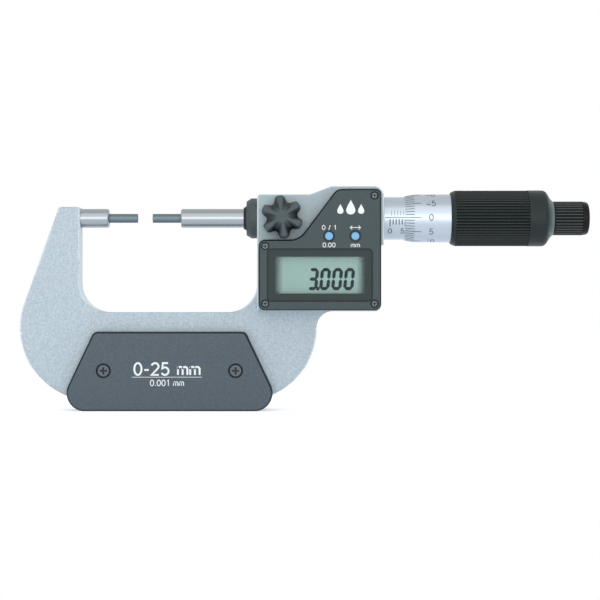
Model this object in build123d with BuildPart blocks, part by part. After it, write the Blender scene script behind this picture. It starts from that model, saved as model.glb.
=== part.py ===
from build123d import *
import os
from math import cos, radians, sin, sqrt

# Digital outside micrometer for 0 to 25 mm, with reduced measuring tips.
#
# The origin is the centre of the anvil's measuring face. +X runs along the measuring line, from
# the anvil to the thimble, +Z is up, and -Y is the front, where the display is. The pieces stand
# as they are with the tips 5 mm apart. All sizes are in millimetres.

# ---- Driving dimensions: measuring line ----
opening = 5.0            # distance between the measuring faces, as modelled
travel = 25.0            # measuring range
tip_r = 1.5
tip_length = 9.5         # length of each tip that shows
tip_seat = 6.0           # length of each tip inside its shank
tip_edge = 0.12
shank_r = 3.175          # spindle and anvil
shank_round = 0.8
anvil_shank = 9.5        # anvil between its tip and the frame
anvil_seat = 6.0         # anvil inside the frame
thread_step = 0.825      # spindle thread over the spindle's shank
thread_length = 39.0
nose_r = 3.5             # spindle's end, in the thimble's hub
screw_edge = 0.3         # chamfer on screw ends and other hidden corners
running = 0.025          # radial clearance of the spindle in its guides
turning = 0.05           # radial clearance of slower turning fits
seat = 0.05              # gap beside pieces that only sit in a pocket

# ---- Driving dimensions: frame ----
throat_width = 59.0
throat_depth = 31.35     # from the measuring line to the floor of the throat
throat_corner = 9.8
frame_thickness = 9.0
frame_round = 0.8
beam_height = 29.45      # frame below the throat
boss_top = 3.7           # top of the anvil's boss over the measuring line
boss_length = 7.35
boss_corner = 1.2
left_arm = 19.9          # throat to the frame's leftmost point
left_bow = 24.3
right_arm = 19.7         # throat to the frame's rightmost point, below the head
right_bow = 24.1
root_round = 5.4         # inside corner between the right arm and the head

# ---- Driving dimensions: head, the block that carries the spindle and the display ----
head_length = 42.0
head_front = 7.5         # measuring line to the head's front
head_back = 9.5
head_bottom = 31.0
head_low_top = 7.6       # top over the lock
head_high_top = 10.3     # top over the display
head_rise_start = 17.5   # the slope between the two tops
head_rise_end = 24.5
head_nose = 1.0          # upper part that reaches past the lower part
head_nose_bottom = 9.0
head_corner = 2.0
head_round = 0.7
head_corners = [0.5, head_corner, 0.3, 0.3, 3.2, 3.0, 3.0, 1.0]

# ---- Driving dimensions: guide, seal and lock ----
bush_length = 5.0
bush_wall = 1.6
way_clear = 0.3          # spindle's clearance in the long bore behind the bush
collar_length = 3.6
collar_step_r = 5.7
collar_r = 6.7
collar_slope = 1.6
wiper_length = 3.0
wiper_wall = 0.35
wiper_proud = 1.0
wiper_step = 0.6         # wiper's seat beyond its lip
lock_inset = 8.3         # head's left face to the lock's centre
lock_screw_r = 2.85
shoe_gap = 0.13          # lock shoe to spindle, when open
shoe_thickness = 1.3
knob_gap = 1.1           # lock knob to the head's front
knob_depth = 6.9
knob_r = 6.9
knob_lobes = 6
knob_first_lobe = 37.0   # degrees from +X towards +Z
knob_valley_r = 5.2
knob_lobe_width = 2.9
knob_tip_round = 0.9
knob_edge = 0.5
scoop_r = 1.5            # scoops between the lobes, deeper towards the knob's face
scoop_front = 4.7
scoop_back = 7.4

# ---- Driving dimensions: encoder ----
chamber_depth = 15.5     # bore for encoder and barrel, from the head's right end
thrust_ring_length = 1.5
rotor_length = 4.4
rotor_rim = 0.4          # rotor's clearance in its chamber
encoder_gap = 0.55
stator_length = 1.6
stator_bore = 1.1        # spindle's surface to the stator's bore
key_width = 1.1
key_length = 1.5
key_depth = 0.7
key_rise = 1.6           # key above the spindle's surface
keyway_depth = 0.8
keyway_spare = 0.5
ribbon_thickness = 0.2
ribbon_width = 1.4
ribbon_tail = 1.2        # height of its foot, where it meets the board

# ---- Driving dimensions: barrel, sleeve and thimble ----
flange_length = 6.0
flange_step = 0.5
barrel_wall = 1.8
nut_length = 18.0        # threaded end of the barrel
end_gap = 2.0            # barrel's end to the thimble's hub, with the tips closed
adjusting_nut_length = 5.0
adjusting_nut_inset = 0.5
slit_length = 12.0
slit_width = 0.7
sleeve_wall = 0.98
sleeve_slip = 0.02
zero_mark = 2.0          # head to the sleeve's zero mark
sleeve_spare = 3.5       # sleeve still inside the thimble at full opening
sleeve_hole_r = 0.8
thimble_wall = 0.85
thimble_lip = 0.15
thimble_cone = 3.6
thimble_length = 47.0
hub_length = 5.0
grip_start = 15.3        # thimble's edge to the grip
grip_wall = 1.35
grip_chamfer = 1.3
grip_ribs = 56
grip_groove = 0.38
grip_band = 5.8          # plain band at the grip's end
grip_taper = 2.5

# ---- Driving dimensions: ratchet ----
ratchet_r = 5.75
ratchet_length = 11.9
ratchet_gap = 0.1
ratchet_ribs = 32
ratchet_groove = 0.35
ratchet_plain = 0.7      # plain end beside the grip
ratchet_crown = 3.0      # plain rounded end
ratchet_wall = 1.35
ratchet_end_round = 1.2
ratchet_disc_length = 2.1
pawl_length = 1.4
ratchet_bore_depth = 5.4
stop_screw_r = 1.5
stop_screw_seat = 10.0
stop_head_r = 3.2
stop_head_height = 1.5
stop_head_sunk = 0.5
stop_slot_width = 0.8
stop_slot_depth = 0.7

# ---- Driving dimensions: display housing ----
housing_left = 0.6       # insets from the head's outline
housing_right = 1.2
housing_bottom = 0.3
housing_top = 1.2
housing_shoulder = 7.5   # measuring line to the housing's low left shoulder
housing_depth = 5.5
housing_wall = 1.5
housing_slope_foot = 13.25
housing_slope_head = 25.7
housing_corners = [2.0, 2.0, 1.6, 3.3, 6.0, 2.2]
housing_edge = 0.5
gasket_thickness = 0.5
gasket_width = 1.0
gasket_inset = 0.3
window_width = 34.4
window_height = 17.1
window_rise = 3.0        # housing's bottom edge to the window
window_corner = 1.3
window_thickness = 1.0
window_sunk = 0.1
window_ledge = 0.8
view_width = 29.1
view_height = 12.0
lcd_margin = 1.2
lcd_thickness = 1.8
holder_wall = 0.7
zebra_thickness = 1.0
zebra_width = 1.1
board_thickness = 1.0
board_width = 31.0
board_top = 3.9
chip_thickness = 1.0
button_pitch = 8.6
button_centre = 12.8     # housing's right edge to the middle of the two buttons
button_drop = 6.4        # measuring line to the buttons
button_r = 1.35
button_proud = 0.4
button_flange_r = 2.2
button_flange = 0.6
button_stroke = 0.5
button_round = 0.3
switch_size = 3.0
switch_height = 1.5
ring_r = 1.95
ring_depth = 0.6
corner_screw_inset = 2.2
corner_screw_r = 0.6
corner_head_r = 1.0
corner_head_height = 0.7
corner_head_sunk = 0.2
corner_screw_reach = 4.0 # screw inside the head
corner_cross_length = 1.3
corner_cross_width = 0.35
corner_cross_depth = 0.4
corner_sink_r = 1.4
corner_boss_r = 1.9

# ---- Driving dimensions: battery ----
cell_r = 5.8
cell_thickness = 5.4
cell_x = 21.0            # head's left face to the cell's centre
cell_drop = 20.0
cell_spare = 2.0         # cap's counterbore to the cell
cup_wall = 1.4
cup_floor = 1.0
cap_flange_r = 8.0
cap_flange = 1.2
cap_proud = 0.6
coin_slot_width = 1.6
coin_slot_depth = 0.7
oring_thickness = 0.55
contact_r = 0.8
contact_disc_r = 3.5
contact_disc = 0.5
contact_wall = 1.2       # insulator round the contact

# ---- Driving dimensions: grip plates ----
plate_thickness = 3.0
plate_drop = 6.45        # floor of the throat to the plate's top
plate_lip = 3.3          # plate below the frame
plate_top_width = 50.2
plate_bottom_width = 75.1
plate_shift = 0.55       # plate's middle past the throat's middle
plate_top_corner = 2.0
plate_bottom_corner = 6.0
plate_edge = 0.6
plate_screw_pitch = 43.7
plate_screw_rise = 13.4
plate_screw_r = 1.4
plate_head_r = 2.15
plate_head_height = 0.9
plate_sink_r = 2.5
plate_sink_depth = 1.1
plate_screw_length = 5.6
plate_cross_length = 2.4
plate_cross_width = 0.6
plate_cross_depth = 0.6

# ---- Places that follow from the sizes ----
x_throat = -(tip_length + anvil_shank)
x_head = x_throat + throat_width
x_head_end = x_head + head_length
x_spindle = opening + tip_length
z_floor = -throat_depth
z_frame_bottom = z_floor - beam_height
x_zero = x_head_end + zero_mark
x_edge = x_zero + opening
x_hub_end = x_edge + thimble_length
x_hub = x_hub_end - hub_length
x_barrel_end = x_hub - opening - end_gap
x_thread = x_hub - thread_length
x_sleeve_end = x_zero + travel + sleeve_spare
x_chamber = x_head_end - chamber_depth
x_flange = x_head_end - flange_length
x_rotor = x_chamber + thrust_ring_length + turning
x_rotor_end = x_rotor + rotor_length
x_stator = x_rotor_end + encoder_gap
x_key = (x_rotor + x_rotor_end - key_length) / 2
x_grip = x_edge + grip_start
x_ratchet = x_hub_end + grip_taper + ratchet_gap
x_ratchet_end = x_ratchet + ratchet_length

thread_r = shank_r + thread_step
way_r = shank_r + way_clear
bush_r = shank_r + running + bush_wall
barrel_bore_r = thread_r + way_clear
barrel_r = barrel_bore_r + barrel_wall
chamber_r = barrel_r + flange_step
sleeve_r = barrel_r + sleeve_slip + sleeve_wall
thimble_bore_r = sleeve_r + turning
thimble_r = thimble_bore_r + thimble_wall
grip_r = thimble_r + grip_wall

y_front = -head_front                       # the head's front face
y_housing = y_front - gasket_thickness      # the housing's back
y_housing_front = y_housing - housing_depth
y_wall = y_housing_front + housing_wall     # inside of the housing's front wall
y_window = y_housing_front + window_sunk
y_mask = y_window + window_thickness
y_lcd = y_wall + lcd_thickness              # back of the display glass
y_board = y_lcd + zebra_thickness           # front of the circuit board
y_board_back = y_board + board_thickness

left = x_head + housing_left
right = x_head_end - housing_right
bottom = -head_bottom + housing_bottom
top = head_high_top - housing_top
shoulder = -housing_shoulder
window_x = (left + right) / 2
window_z = bottom + window_rise + window_height / 2
corner_screws = [
    (left + corner_screw_inset, shoulder - corner_screw_inset),
    (left + corner_screw_inset, bottom + corner_screw_inset),
    (right - corner_screw_inset, top - corner_screw_inset),
    (right - corner_screw_inset, bottom + corner_screw_inset),
]
buttons_x = right - button_centre
buttons = [(buttons_x - button_pitch / 2, -button_drop), (buttons_x + button_pitch / 2, -button_drop)]

lock_x = x_head + lock_inset
battery_x = x_head + cell_x
battery_z = -cell_drop
cup_r = cell_r + turning + cup_wall
y_cap = head_back + cap_proud - cap_flange  # underside of the cap's flange
y_counterbore = y_cap - oring_thickness - turning
y_cell = y_counterbore - cell_spare - cell_thickness
y_cup = y_cell - cup_floor

plate_x = x_throat + throat_width / 2 + plate_shift
z_plate_top = z_floor - plate_drop
z_plate_bottom = z_frame_bottom - plate_lip
y_plate = frame_thickness / 2
y_plate_face = y_plate + plate_thickness
plate_screw_z = z_plate_bottom + plate_screw_rise
plate_screws = [(plate_x + side * plate_screw_pitch / 2, plate_screw_z) for side in (-1, 1)]


# ---- Helpers ----
def front(y):
    """Plane at this Y that faces the front: its own x is +X and its own y is +Z."""
    return Plane.XZ.offset(-y)


def across(x):
    """Plane at this X that faces +X: its own x is +Y and its own y is +Z."""
    return Plane.YZ.offset(x)


def half_section(points):
    """Face through (x, radius) points, to be turned about the measuring line."""
    with BuildSketch(Plane.XZ) as section:
        with BuildLine():
            Polyline(*points, close=True)
        make_face()
    return section.sketch


def ring_section(x_from, x_to, inner_r, outer_r):
    """Half section of a plain ring about the measuring line."""
    return half_section([(x_from, inner_r), (x_to, inner_r), (x_to, outer_r), (x_from, outer_r)])


def section_at(points, x, z):
    """Face through (radius, y) points, to be turned about the front-to-back line at x, z."""
    with BuildSketch(Plane.XY.offset(z)) as section:
        with BuildLine():
            Polyline(*[(x + radius, y) for radius, y in points], close=True)
        make_face()
    return section.sketch


def line_at(x, z):
    """Front-to-back axis at x, z."""
    return Axis((x, 0, z), (0, 1, 0))


def rounded(points, radii, y):
    """Face on the plane at y, through (x, z) points with these corner radii."""
    with BuildSketch(front(y)) as outline:
        with BuildLine():
            FilletPolyline(*points, radius=radii, close=True)
        make_face()
    return outline.sketch


def rectangle_points(x, z, width, height):
    """Corners of a rectangle centred at x, z."""
    return [
        (x - width / 2, z - height / 2),
        (x + width / 2, z - height / 2),
        (x + width / 2, z + height / 2),
        (x - width / 2, z + height / 2),
    ]


def rectangle(x, z, width, height, y, corner=0.0):
    """Rectangular face on the plane at y, with rounded corners if a radius is given."""
    points = rectangle_points(x, z, width, height)
    if corner:
        return rounded(points, [corner] * 4, y)
    with BuildSketch(front(y)) as outline:
        with BuildLine():
            Polyline(*points, close=True)
        make_face()
    return outline.sketch


def discs(places, radius, y):
    """Round faces on the plane at y, centred at each (x, z) place."""
    with BuildSketch(front(y)) as faces:
        with Locations(*places):
            Circle(radius)
    return faces.sketch


def crosses(places, length, width, y):
    """Cross-shaped faces on the plane at y, for screw recesses."""
    with BuildSketch(front(y)) as faces:
        with Locations(*places):
            Rectangle(length, width)
            Rectangle(width, length)
    return faces.sketch


def grooves(places_r, width, count, x):
    """Round grooves for a ribbed grip: circles about the rim on the plane at x."""
    with BuildSketch(across(x)) as faces:
        with PolarLocations(places_r, count):
            Circle(width)
    return faces.sketch


# ---- Outlines used by more than one piece ----
def frame_outline(y, grow=0.0):
    """Outside of the U-shaped frame, without its throat, grown by a clearance."""
    left_x = x_throat - left_arm + left_bow
    right_x = x_head + right_arm - right_bow
    with BuildSketch(front(y)) as outline:
        with Locations((left_x, z_frame_bottom + left_bow)):
            Circle(left_bow + grow)
        with Locations((right_x, z_frame_bottom + right_bow)):
            Circle(right_bow + grow)
        with Locations((x_throat - boss_length / 2, boss_top - boss_length / 2)):
            RectangleRounded(boss_length, boss_length, boss_corner)
        with Locations((x_head + right_arm / 2, -head_bottom)):
            Rectangle(right_arm, 1)
        make_hull()
    return outline.sketch


def housing_outline(y, inset=0.0):
    """Outside of the display housing, which is cut away round the lock knob."""
    points = [
        (left, bottom),
        (right, bottom),
        (right, top),
        (left + housing_slope_head, top),
        (left + housing_slope_foot, shoulder),
        (left, shoulder),
    ]
    with BuildSketch(front(y)) as outline:
        with BuildLine():
            FilletPolyline(*points, radius=housing_corners, close=True)
        make_face()
        if inset:
            offset(amount=-inset)
    return outline.sketch


def plate_outline(y):
    """Outside of a grip plate: a trapezium, wider at its foot."""
    points = [
        (plate_x - plate_bottom_width / 2, z_plate_bottom),
        (plate_x + plate_bottom_width / 2, z_plate_bottom),
        (plate_x + plate_top_width / 2, z_plate_top),
        (plate_x - plate_top_width / 2, z_plate_top),
    ]
    corners = [plate_bottom_corner, plate_bottom_corner, plate_top_corner, plate_top_corner]
    return rounded(points, corners, y)


# ---- Frame: a forged U with the head block on its right arm ----
head_points = [
    (x_head, -head_bottom),
    (x_head_end - head_nose, -head_bottom),
    (x_head_end - head_nose, -head_nose_bottom),
    (x_head_end, -head_nose_bottom),
    (x_head_end, head_high_top),
    (x_head + head_rise_end, head_high_top),
    (x_head + head_rise_start, head_low_top),
    (x_head, head_low_top),
]
pocket_width = board_width - 2
pocket_top = -chamber_r - 2.0
pocket_height = pocket_top - (bottom + 2 * corner_screw_inset)
pocket_depth = 1.5 * chip_thickness
slot_top = -shank_r - stator_bore
slot_bottom = pocket_top - 3.0
slot_depth = -ribbon_width - way_clear - y_front
x_slot = x_stator + 0.75 * stator_length

with BuildPart() as frame:
    extrude(frame_outline(y_plate), amount=frame_thickness)
    # The throat's cutter reaches as far above the measuring line as its floor is below it.
    throat_x = x_throat + throat_width / 2
    throat = rectangle(throat_x, 0, throat_width, 2 * throat_depth, y_plate, throat_corner)
    extrude(throat, amount=frame_thickness, mode=Mode.SUBTRACT)
    fillet(faces().sort_by(Axis.Y)[0].edges() + faces().sort_by(Axis.Y)[-1].edges(), frame_round)
    # The head block, wider than the U and joined to its right arm.
    extrude(
        rounded(head_points, head_corners, head_back),
        amount=head_front + head_back,
    )
    fillet(faces().sort_by(Axis.Y)[0].edges() + faces().sort_by(Axis.Y)[-1].edges(), head_round)
    # Rounded root under the head, beside the right arm, whose rounded edge it covers.
    root_x = x_head + right_arm
    root_width = root_round + frame_round
    extrude(
        rectangle(
            root_x + root_round - root_width / 2,
            -head_bottom - root_round / 2,
            root_width,
            root_round,
            y_plate,
        ),
        amount=frame_thickness,
    )
    extrude(
        discs([(root_x + root_round, -head_bottom - root_round)], root_round, y_plate),
        amount=frame_thickness,
        mode=Mode.SUBTRACT,
    )
    # Bores on the measuring line: anvil seat, guide bush, long way, encoder chamber.
    revolve(ring_section(x_throat - anvil_seat, x_throat + 1, 0, shank_r), axis=Axis.X, mode=Mode.SUBTRACT)
    revolve(ring_section(x_head - 1, x_head + bush_length, 0, bush_r), axis=Axis.X, mode=Mode.SUBTRACT)
    revolve(ring_section(x_head, x_head_end, 0, way_r), axis=Axis.X, mode=Mode.SUBTRACT)
    revolve(ring_section(x_chamber, x_head_end + 1, 0, chamber_r), axis=Axis.X, mode=Mode.SUBTRACT)
    # Threaded hole of the lock, from the front into the way.
    extrude(discs([(lock_x, 0)], lock_screw_r + turning, 0), amount=head_front, mode=Mode.SUBTRACT)
    # Shallow pocket for the chips, and the slot for the encoder's ribbon.
    pocket_z = pocket_top - pocket_height / 2
    extrude(
        rectangle(window_x, pocket_z, pocket_width, pocket_height, y_front + pocket_depth, 1.0),
        amount=pocket_depth,
        mode=Mode.SUBTRACT,
    )
    slot_width = 2 * stator_length
    slot_z = (slot_top + slot_bottom) / 2
    slot = rectangle(x_slot, slot_z, slot_width, slot_top - slot_bottom, y_front + slot_depth)
    extrude(slot, amount=slot_depth, mode=Mode.SUBTRACT)
    # Battery bore from the back, its counterbore for the cap, and the hole for the contact.
    battery_places = [(battery_x, battery_z)]
    extrude(discs(battery_places, cup_r + turning, head_back), amount=head_back - y_cup, mode=Mode.SUBTRACT)
    extrude(
        discs(battery_places, cap_flange_r + turning, head_back),
        amount=head_back - y_counterbore,
        mode=Mode.SUBTRACT,
    )
    contact_hole = discs(battery_places, contact_r + contact_wall, y_cup)
    extrude(contact_hole, amount=head_front + y_cup, mode=Mode.SUBTRACT)
    # Threaded holes for the housing's and the plates' screws.
    hole_depth = corner_screw_reach + screw_edge
    corner_holes = discs(corner_screws, corner_screw_r, y_front + hole_depth)
    extrude(corner_holes, amount=hole_depth, mode=Mode.SUBTRACT)
    extrude(discs(plate_screws, plate_screw_r, y_plate), amount=frame_thickness, mode=Mode.SUBTRACT)

# ---- Anvil and its tip ----
with BuildPart() as anvil:
    anvil_end = -tip_length
    revolve(
        half_section(
            [
                (x_throat - anvil_seat, 0),
                (x_throat - anvil_seat, shank_r),
                (anvil_end, shank_r),
                (anvil_end, tip_r),
                (anvil_end - tip_seat, tip_r),
                (anvil_end - tip_seat, 0),
            ]
        ),
        axis=Axis.X,
    )
    fillet(edges().filter_by(GeomType.CIRCLE).group_by(Axis.X)[-1].sort_by(SortBy.RADIUS)[-1], shank_round)

with BuildPart() as anvil_tip:
    revolve(ring_section(-tip_length - tip_seat, 0, 0, tip_r), axis=Axis.X)
    chamfer(edges().filter_by(GeomType.CIRCLE).group_by(Axis.X)[-1], tip_edge)

# ---- Grip plates: thin moulded plates on both sides, meeting under the frame ----
for side in (-1, 1):
    with BuildPart() as plate:
        extrude(plate_outline(-y_plate), amount=plate_thickness)
        chamfer(faces().sort_by(Axis.Y)[0].edges(), plate_edge)
        with BuildSketch(front(-seat / 2)):
            add(plate_outline(0))
            add(frame_outline(0, seat), mode=Mode.SUBTRACT)
        extrude(amount=y_plate - seat / 2)
        extrude(
            discs(plate_screws, plate_sink_r, -y_plate_face + plate_sink_depth),
            amount=plate_sink_depth,
            mode=Mode.SUBTRACT,
        )
        extrude(discs(plate_screws, plate_screw_r, -y_plate), amount=plate_thickness, mode=Mode.SUBTRACT)
        if side > 0:
            mirror(about=Plane.XZ, mode=Mode.REPLACE)
    with BuildPart() as screws:
        head_face = -y_plate_face + plate_sink_depth - plate_head_height
        extrude(discs(plate_screws, plate_head_r, head_face + plate_head_height), amount=plate_head_height)
        chamfer(faces().sort_by(Axis.Y)[0:2].edges(), screw_edge)
        shank = plate_screw_length - plate_head_height
        extrude(discs(plate_screws, plate_screw_r, head_face + plate_screw_length), amount=shank)
        recess = crosses(plate_screws, plate_cross_length, plate_cross_width, head_face + plate_cross_depth)
        extrude(recess, amount=plate_cross_depth, mode=Mode.SUBTRACT)
        if side > 0:
            mirror(about=Plane.XZ, mode=Mode.REPLACE)
    if side < 0:
        front_grip_plate = plate
        front_plate_screws = screws
    else:
        back_grip_plate = plate
        back_plate_screws = screws

# ---- Guide bush, seal collar and wiper on the head's left face ----
with BuildPart() as spindle_guide_bush:
    revolve(ring_section(x_head, x_head + bush_length, shank_r + running, bush_r), axis=Axis.X)

with BuildPart() as seal_collar:
    collar_x = x_head - collar_length
    wiper_seat_r = shank_r + running + wiper_wall + wiper_step
    revolve(
        half_section(
            [
                (collar_x, shank_r + way_clear),
                (collar_x, collar_step_r),
                (collar_x + collar_slope, collar_r),
                (x_head, collar_r),
                (x_head, shank_r + way_clear),
            ]
        ),
        axis=Axis.X,
    )
    wiper_end = collar_x + wiper_length - wiper_proud
    revolve(ring_section(collar_x - 1, wiper_end, 0, wiper_seat_r), axis=Axis.X, mode=Mode.SUBTRACT)

with BuildPart() as wiper_seal:
    revolve(
        half_section(
            [
                (collar_x - wiper_proud, shank_r + running),
                (collar_x - wiper_proud, shank_r + running + wiper_wall),
                (collar_x, wiper_seat_r - seat),
                (collar_x, wiper_seat_r),
                (wiper_end, wiper_seat_r),
                (wiper_end, shank_r + running),
            ]
        ),
        axis=Axis.X,
    )

# ---- Spindle, with its tip, its thread and the keyway that turns the encoder's rotor ----
with BuildPart() as spindle:
    stop_hole = x_hub_end - stop_screw_seat
    revolve(
        half_section(
            [
                (x_spindle + tip_seat, 0),
                (x_spindle + tip_seat, tip_r),
                (x_spindle, tip_r),
                (x_spindle, shank_r),
                (x_thread, shank_r),
                (x_thread, thread_r),
                (x_hub, thread_r),
                (x_hub, nose_r),
                (x_hub_end, nose_r),
                (x_hub_end, stop_screw_r),
                (stop_hole, stop_screw_r),
                (stop_hole, 0),
            ]
        ),
        axis=Axis.X,
    )
    shoulder_edge = edges().filter_by(GeomType.CIRCLE).group_by(Axis.X)[0].sort_by(SortBy.RADIUS)[-1]
    chamfer(shoulder_edge, screw_edge)
    keyway_start = x_key - (travel - opening) - keyway_spare
    keyway_end = x_key + key_length + opening + keyway_spare
    with BuildSketch(across(keyway_start)):
        with Locations((0, shank_r)):
            Rectangle(key_width + 2 * turning, 2 * keyway_depth)
    extrude(amount=keyway_end - keyway_start, mode=Mode.SUBTRACT)

with BuildPart() as spindle_tip:
    revolve(ring_section(opening, x_spindle + tip_seat, 0, tip_r), axis=Axis.X)
    chamfer(edges().filter_by(GeomType.CIRCLE).group_by(Axis.X)[0], tip_edge)

# ---- Encoder: a thrust ring, a rotor keyed to the spindle, and a fixed stator with its ribbon ----
with BuildPart() as thrust_ring:
    revolve(ring_section(x_chamber, x_chamber + thrust_ring_length, way_r, chamber_r), axis=Axis.X)

rotor_r = chamber_r - rotor_rim
rotor_bore_r = shank_r + turning
key_bottom = shank_r - key_depth
key_top = shank_r + key_rise

with BuildPart() as encoder_rotor:
    revolve(ring_section(x_rotor, x_rotor_end, rotor_bore_r, rotor_r), axis=Axis.X)
    with BuildSketch(across(x_key)):
        with Locations((0, (key_bottom + key_top) / 2)):
            Rectangle(key_width, key_top - key_bottom)
    extrude(amount=key_length, mode=Mode.SUBTRACT)

with BuildPart() as rotor_key:
    with BuildSketch(across(x_key)):
        with Locations((0, (key_bottom + key_top) / 2)):
            Rectangle(key_width, key_top - key_bottom)
    extrude(amount=key_length)

stator_bore_r = shank_r + stator_bore
with BuildPart() as encoder_stator:
    revolve(ring_section(x_stator, x_stator + stator_length, stator_bore_r, chamber_r), axis=Axis.X)

ribbon_x = x_stator + stator_length
ribbon_y = -stator_bore_r + key_rise - way_clear
ribbon_top = -stator_bore_r - 2 * ribbon_thickness
ribbon_foot = slot_bottom + ribbon_tail / 2
with BuildPart() as ribbon_cable:
    with BuildSketch(across(ribbon_x)):
        with BuildLine():
            Polyline(
                (ribbon_y, ribbon_top),
                (ribbon_y, ribbon_foot),
                (y_board_back, ribbon_foot),
                (y_board_back, ribbon_foot + ribbon_tail),
                (ribbon_y - ribbon_width, ribbon_foot + ribbon_tail),
                (ribbon_y - ribbon_width, ribbon_top),
                close=True,
            )
        make_face()
    extrude(amount=ribbon_thickness)

# ---- Barrel with its nut, the adjusting nut that closes it, and the graduated sleeve ----
with BuildPart() as barrel:
    revolve(
        half_section(
            [
                (x_flange, barrel_bore_r),
                (x_flange, chamber_r),
                (x_head_end, chamber_r),
                (x_head_end, barrel_r),
                (x_barrel_end, barrel_r),
                (x_barrel_end, thread_r + turning),
                (x_barrel_end - nut_length, thread_r + turning),
                (x_barrel_end - nut_length, barrel_bore_r),
            ]
        ),
        axis=Axis.X,
    )
    with BuildSketch(across(x_barrel_end)):
        with PolarLocations(barrel_r / 2, 3):
            Rectangle(barrel_r + 2, slit_width)
    extrude(amount=-slit_length, mode=Mode.SUBTRACT)

with BuildPart() as adjusting_nut:
    nut_end = x_barrel_end - adjusting_nut_inset
    nut_outer_r = thimble_bore_r - 5 * turning
    revolve(ring_section(nut_end - adjusting_nut_length, nut_end, barrel_r, nut_outer_r), axis=Axis.X)
    with BuildSketch(across(nut_end)):
        with PolarLocations(nut_outer_r, 4):
            Rectangle(slit_width, 2 * slit_width)
    extrude(amount=-2 * slit_width, mode=Mode.SUBTRACT)

with BuildPart() as sleeve:
    revolve(ring_section(x_head_end + seat, x_sleeve_end, barrel_r + sleeve_slip, sleeve_r), axis=Axis.X)
    # Hole for the adjusting spanner, opposite the front.
    extrude(discs([(x_zero, 0)], sleeve_hole_r, 2 * sleeve_r), amount=sleeve_r, mode=Mode.SUBTRACT)

# ---- Thimble and its ribbed grip ----
with BuildPart() as thimble:
    revolve(
        half_section(
            [
                (x_edge, thimble_bore_r),
                (x_edge, thimble_bore_r + thimble_lip),
                (x_edge + thimble_cone, thimble_r),
                (x_hub_end, thimble_r),
                (x_hub_end, nose_r),
                (x_hub, nose_r),
                (x_hub, thimble_bore_r),
            ]
        ),
        axis=Axis.X,
    )

disc_r = ratchet_r - ratchet_wall + 4 * turning
with BuildPart() as thimble_grip:
    taper_x = x_hub_end + grip_taper
    revolve(
        half_section(
            [
                (x_grip, thimble_r),
                (x_grip, grip_r - grip_wall / 2),
                (x_grip + grip_chamfer, grip_r),
                (x_hub_end, grip_r),
                (taper_x, ratchet_r),
                (taper_x, disc_r + seat),
                (x_hub_end, disc_r + seat),
                (x_hub_end, thimble_r),
            ]
        ),
        axis=Axis.X,
    )
    rib_start = x_grip + grip_chamfer
    rib_end = x_hub_end - grip_band
    ribbing = grooves(grip_r, grip_groove, grip_ribs, rib_start)
    extrude(ribbing, amount=rib_end - rib_start, mode=Mode.SUBTRACT)

# ---- Ratchet: a toothed disc, a pawl disc, disc springs, the knob and its screw ----
with BuildPart() as ratchet_disc:
    disc_end = x_hub_end + ratchet_disc_length
    revolve(ring_section(x_hub_end, disc_end, stop_screw_r, disc_r), axis=Axis.X)

with BuildPart() as pawl_disc:
    pawl_x = disc_end + ratchet_gap
    pawl_r = ratchet_r - ratchet_wall - turning
    revolve(ring_section(pawl_x, pawl_x + pawl_length, stop_screw_r + turning, pawl_r), axis=Axis.X)

ratchet_floor = x_ratchet + ratchet_bore_depth
with BuildPart() as ratchet_springs:
    spring_x = pawl_x + pawl_length
    spring_count = 3
    spring_pitch = (ratchet_floor - spring_x) / spring_count
    spring_leaf = 0.4
    inner_r = stop_screw_r + 3 * turning
    outer_r = pawl_r - way_clear
    for index in range(spring_count):
        # Alternate springs face opposite ways, so that they meet at their rims.
        start = spring_x + index * spring_pitch
        end = start + spring_pitch
        near_r, far_r = (inner_r, outer_r) if index % 2 == 0 else (outer_r, inner_r)
        with BuildSketch(Plane.XZ):
            with BuildLine():
                Polyline(
                    (start, near_r),
                    (start + spring_leaf, near_r),
                    (end, far_r),
                    (end - spring_leaf, far_r),
                    close=True,
                )
            make_face()
        revolve(axis=Axis.X)

with BuildPart() as ratchet_knob:
    head_seat = x_ratchet_end - stop_head_height - stop_head_sunk
    head_bore_r = stop_head_r + 2 * turning
    revolve(
        half_section(
            [
                (x_ratchet, pawl_r + turning),
                (x_ratchet, ratchet_r),
                (x_ratchet_end, ratchet_r),
                (x_ratchet_end, head_bore_r),
                (head_seat, head_bore_r),
                (head_seat, stop_screw_r + turning),
                (ratchet_floor, stop_screw_r + turning),
                (ratchet_floor, pawl_r + turning),
            ]
        ),
        axis=Axis.X,
    )
    rim = edges().filter_by(GeomType.CIRCLE).group_by(Axis.X)[-1].sort_by(SortBy.RADIUS)[-1]
    fillet(rim, ratchet_end_round)
    knurl = grooves(ratchet_r, ratchet_groove, ratchet_ribs, x_ratchet + ratchet_plain)
    extrude(knurl, amount=ratchet_length - ratchet_plain - ratchet_crown, mode=Mode.SUBTRACT)

with BuildPart() as ratchet_screw:
    revolve(
        half_section(
            [
                (stop_hole, 0),
                (stop_hole, stop_screw_r),
                (head_seat + ratchet_gap, stop_screw_r),
                (head_seat + ratchet_gap, stop_head_r),
                (head_seat + ratchet_gap + stop_head_height, stop_head_r),
                (head_seat + ratchet_gap + stop_head_height, 0),
            ]
        ),
        axis=Axis.X,
    )
    with BuildSketch(across(head_seat + ratchet_gap + stop_head_height)):
        Rectangle(stop_slot_width, 3 * stop_head_r)
    extrude(amount=-stop_slot_depth, mode=Mode.SUBTRACT)

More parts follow.
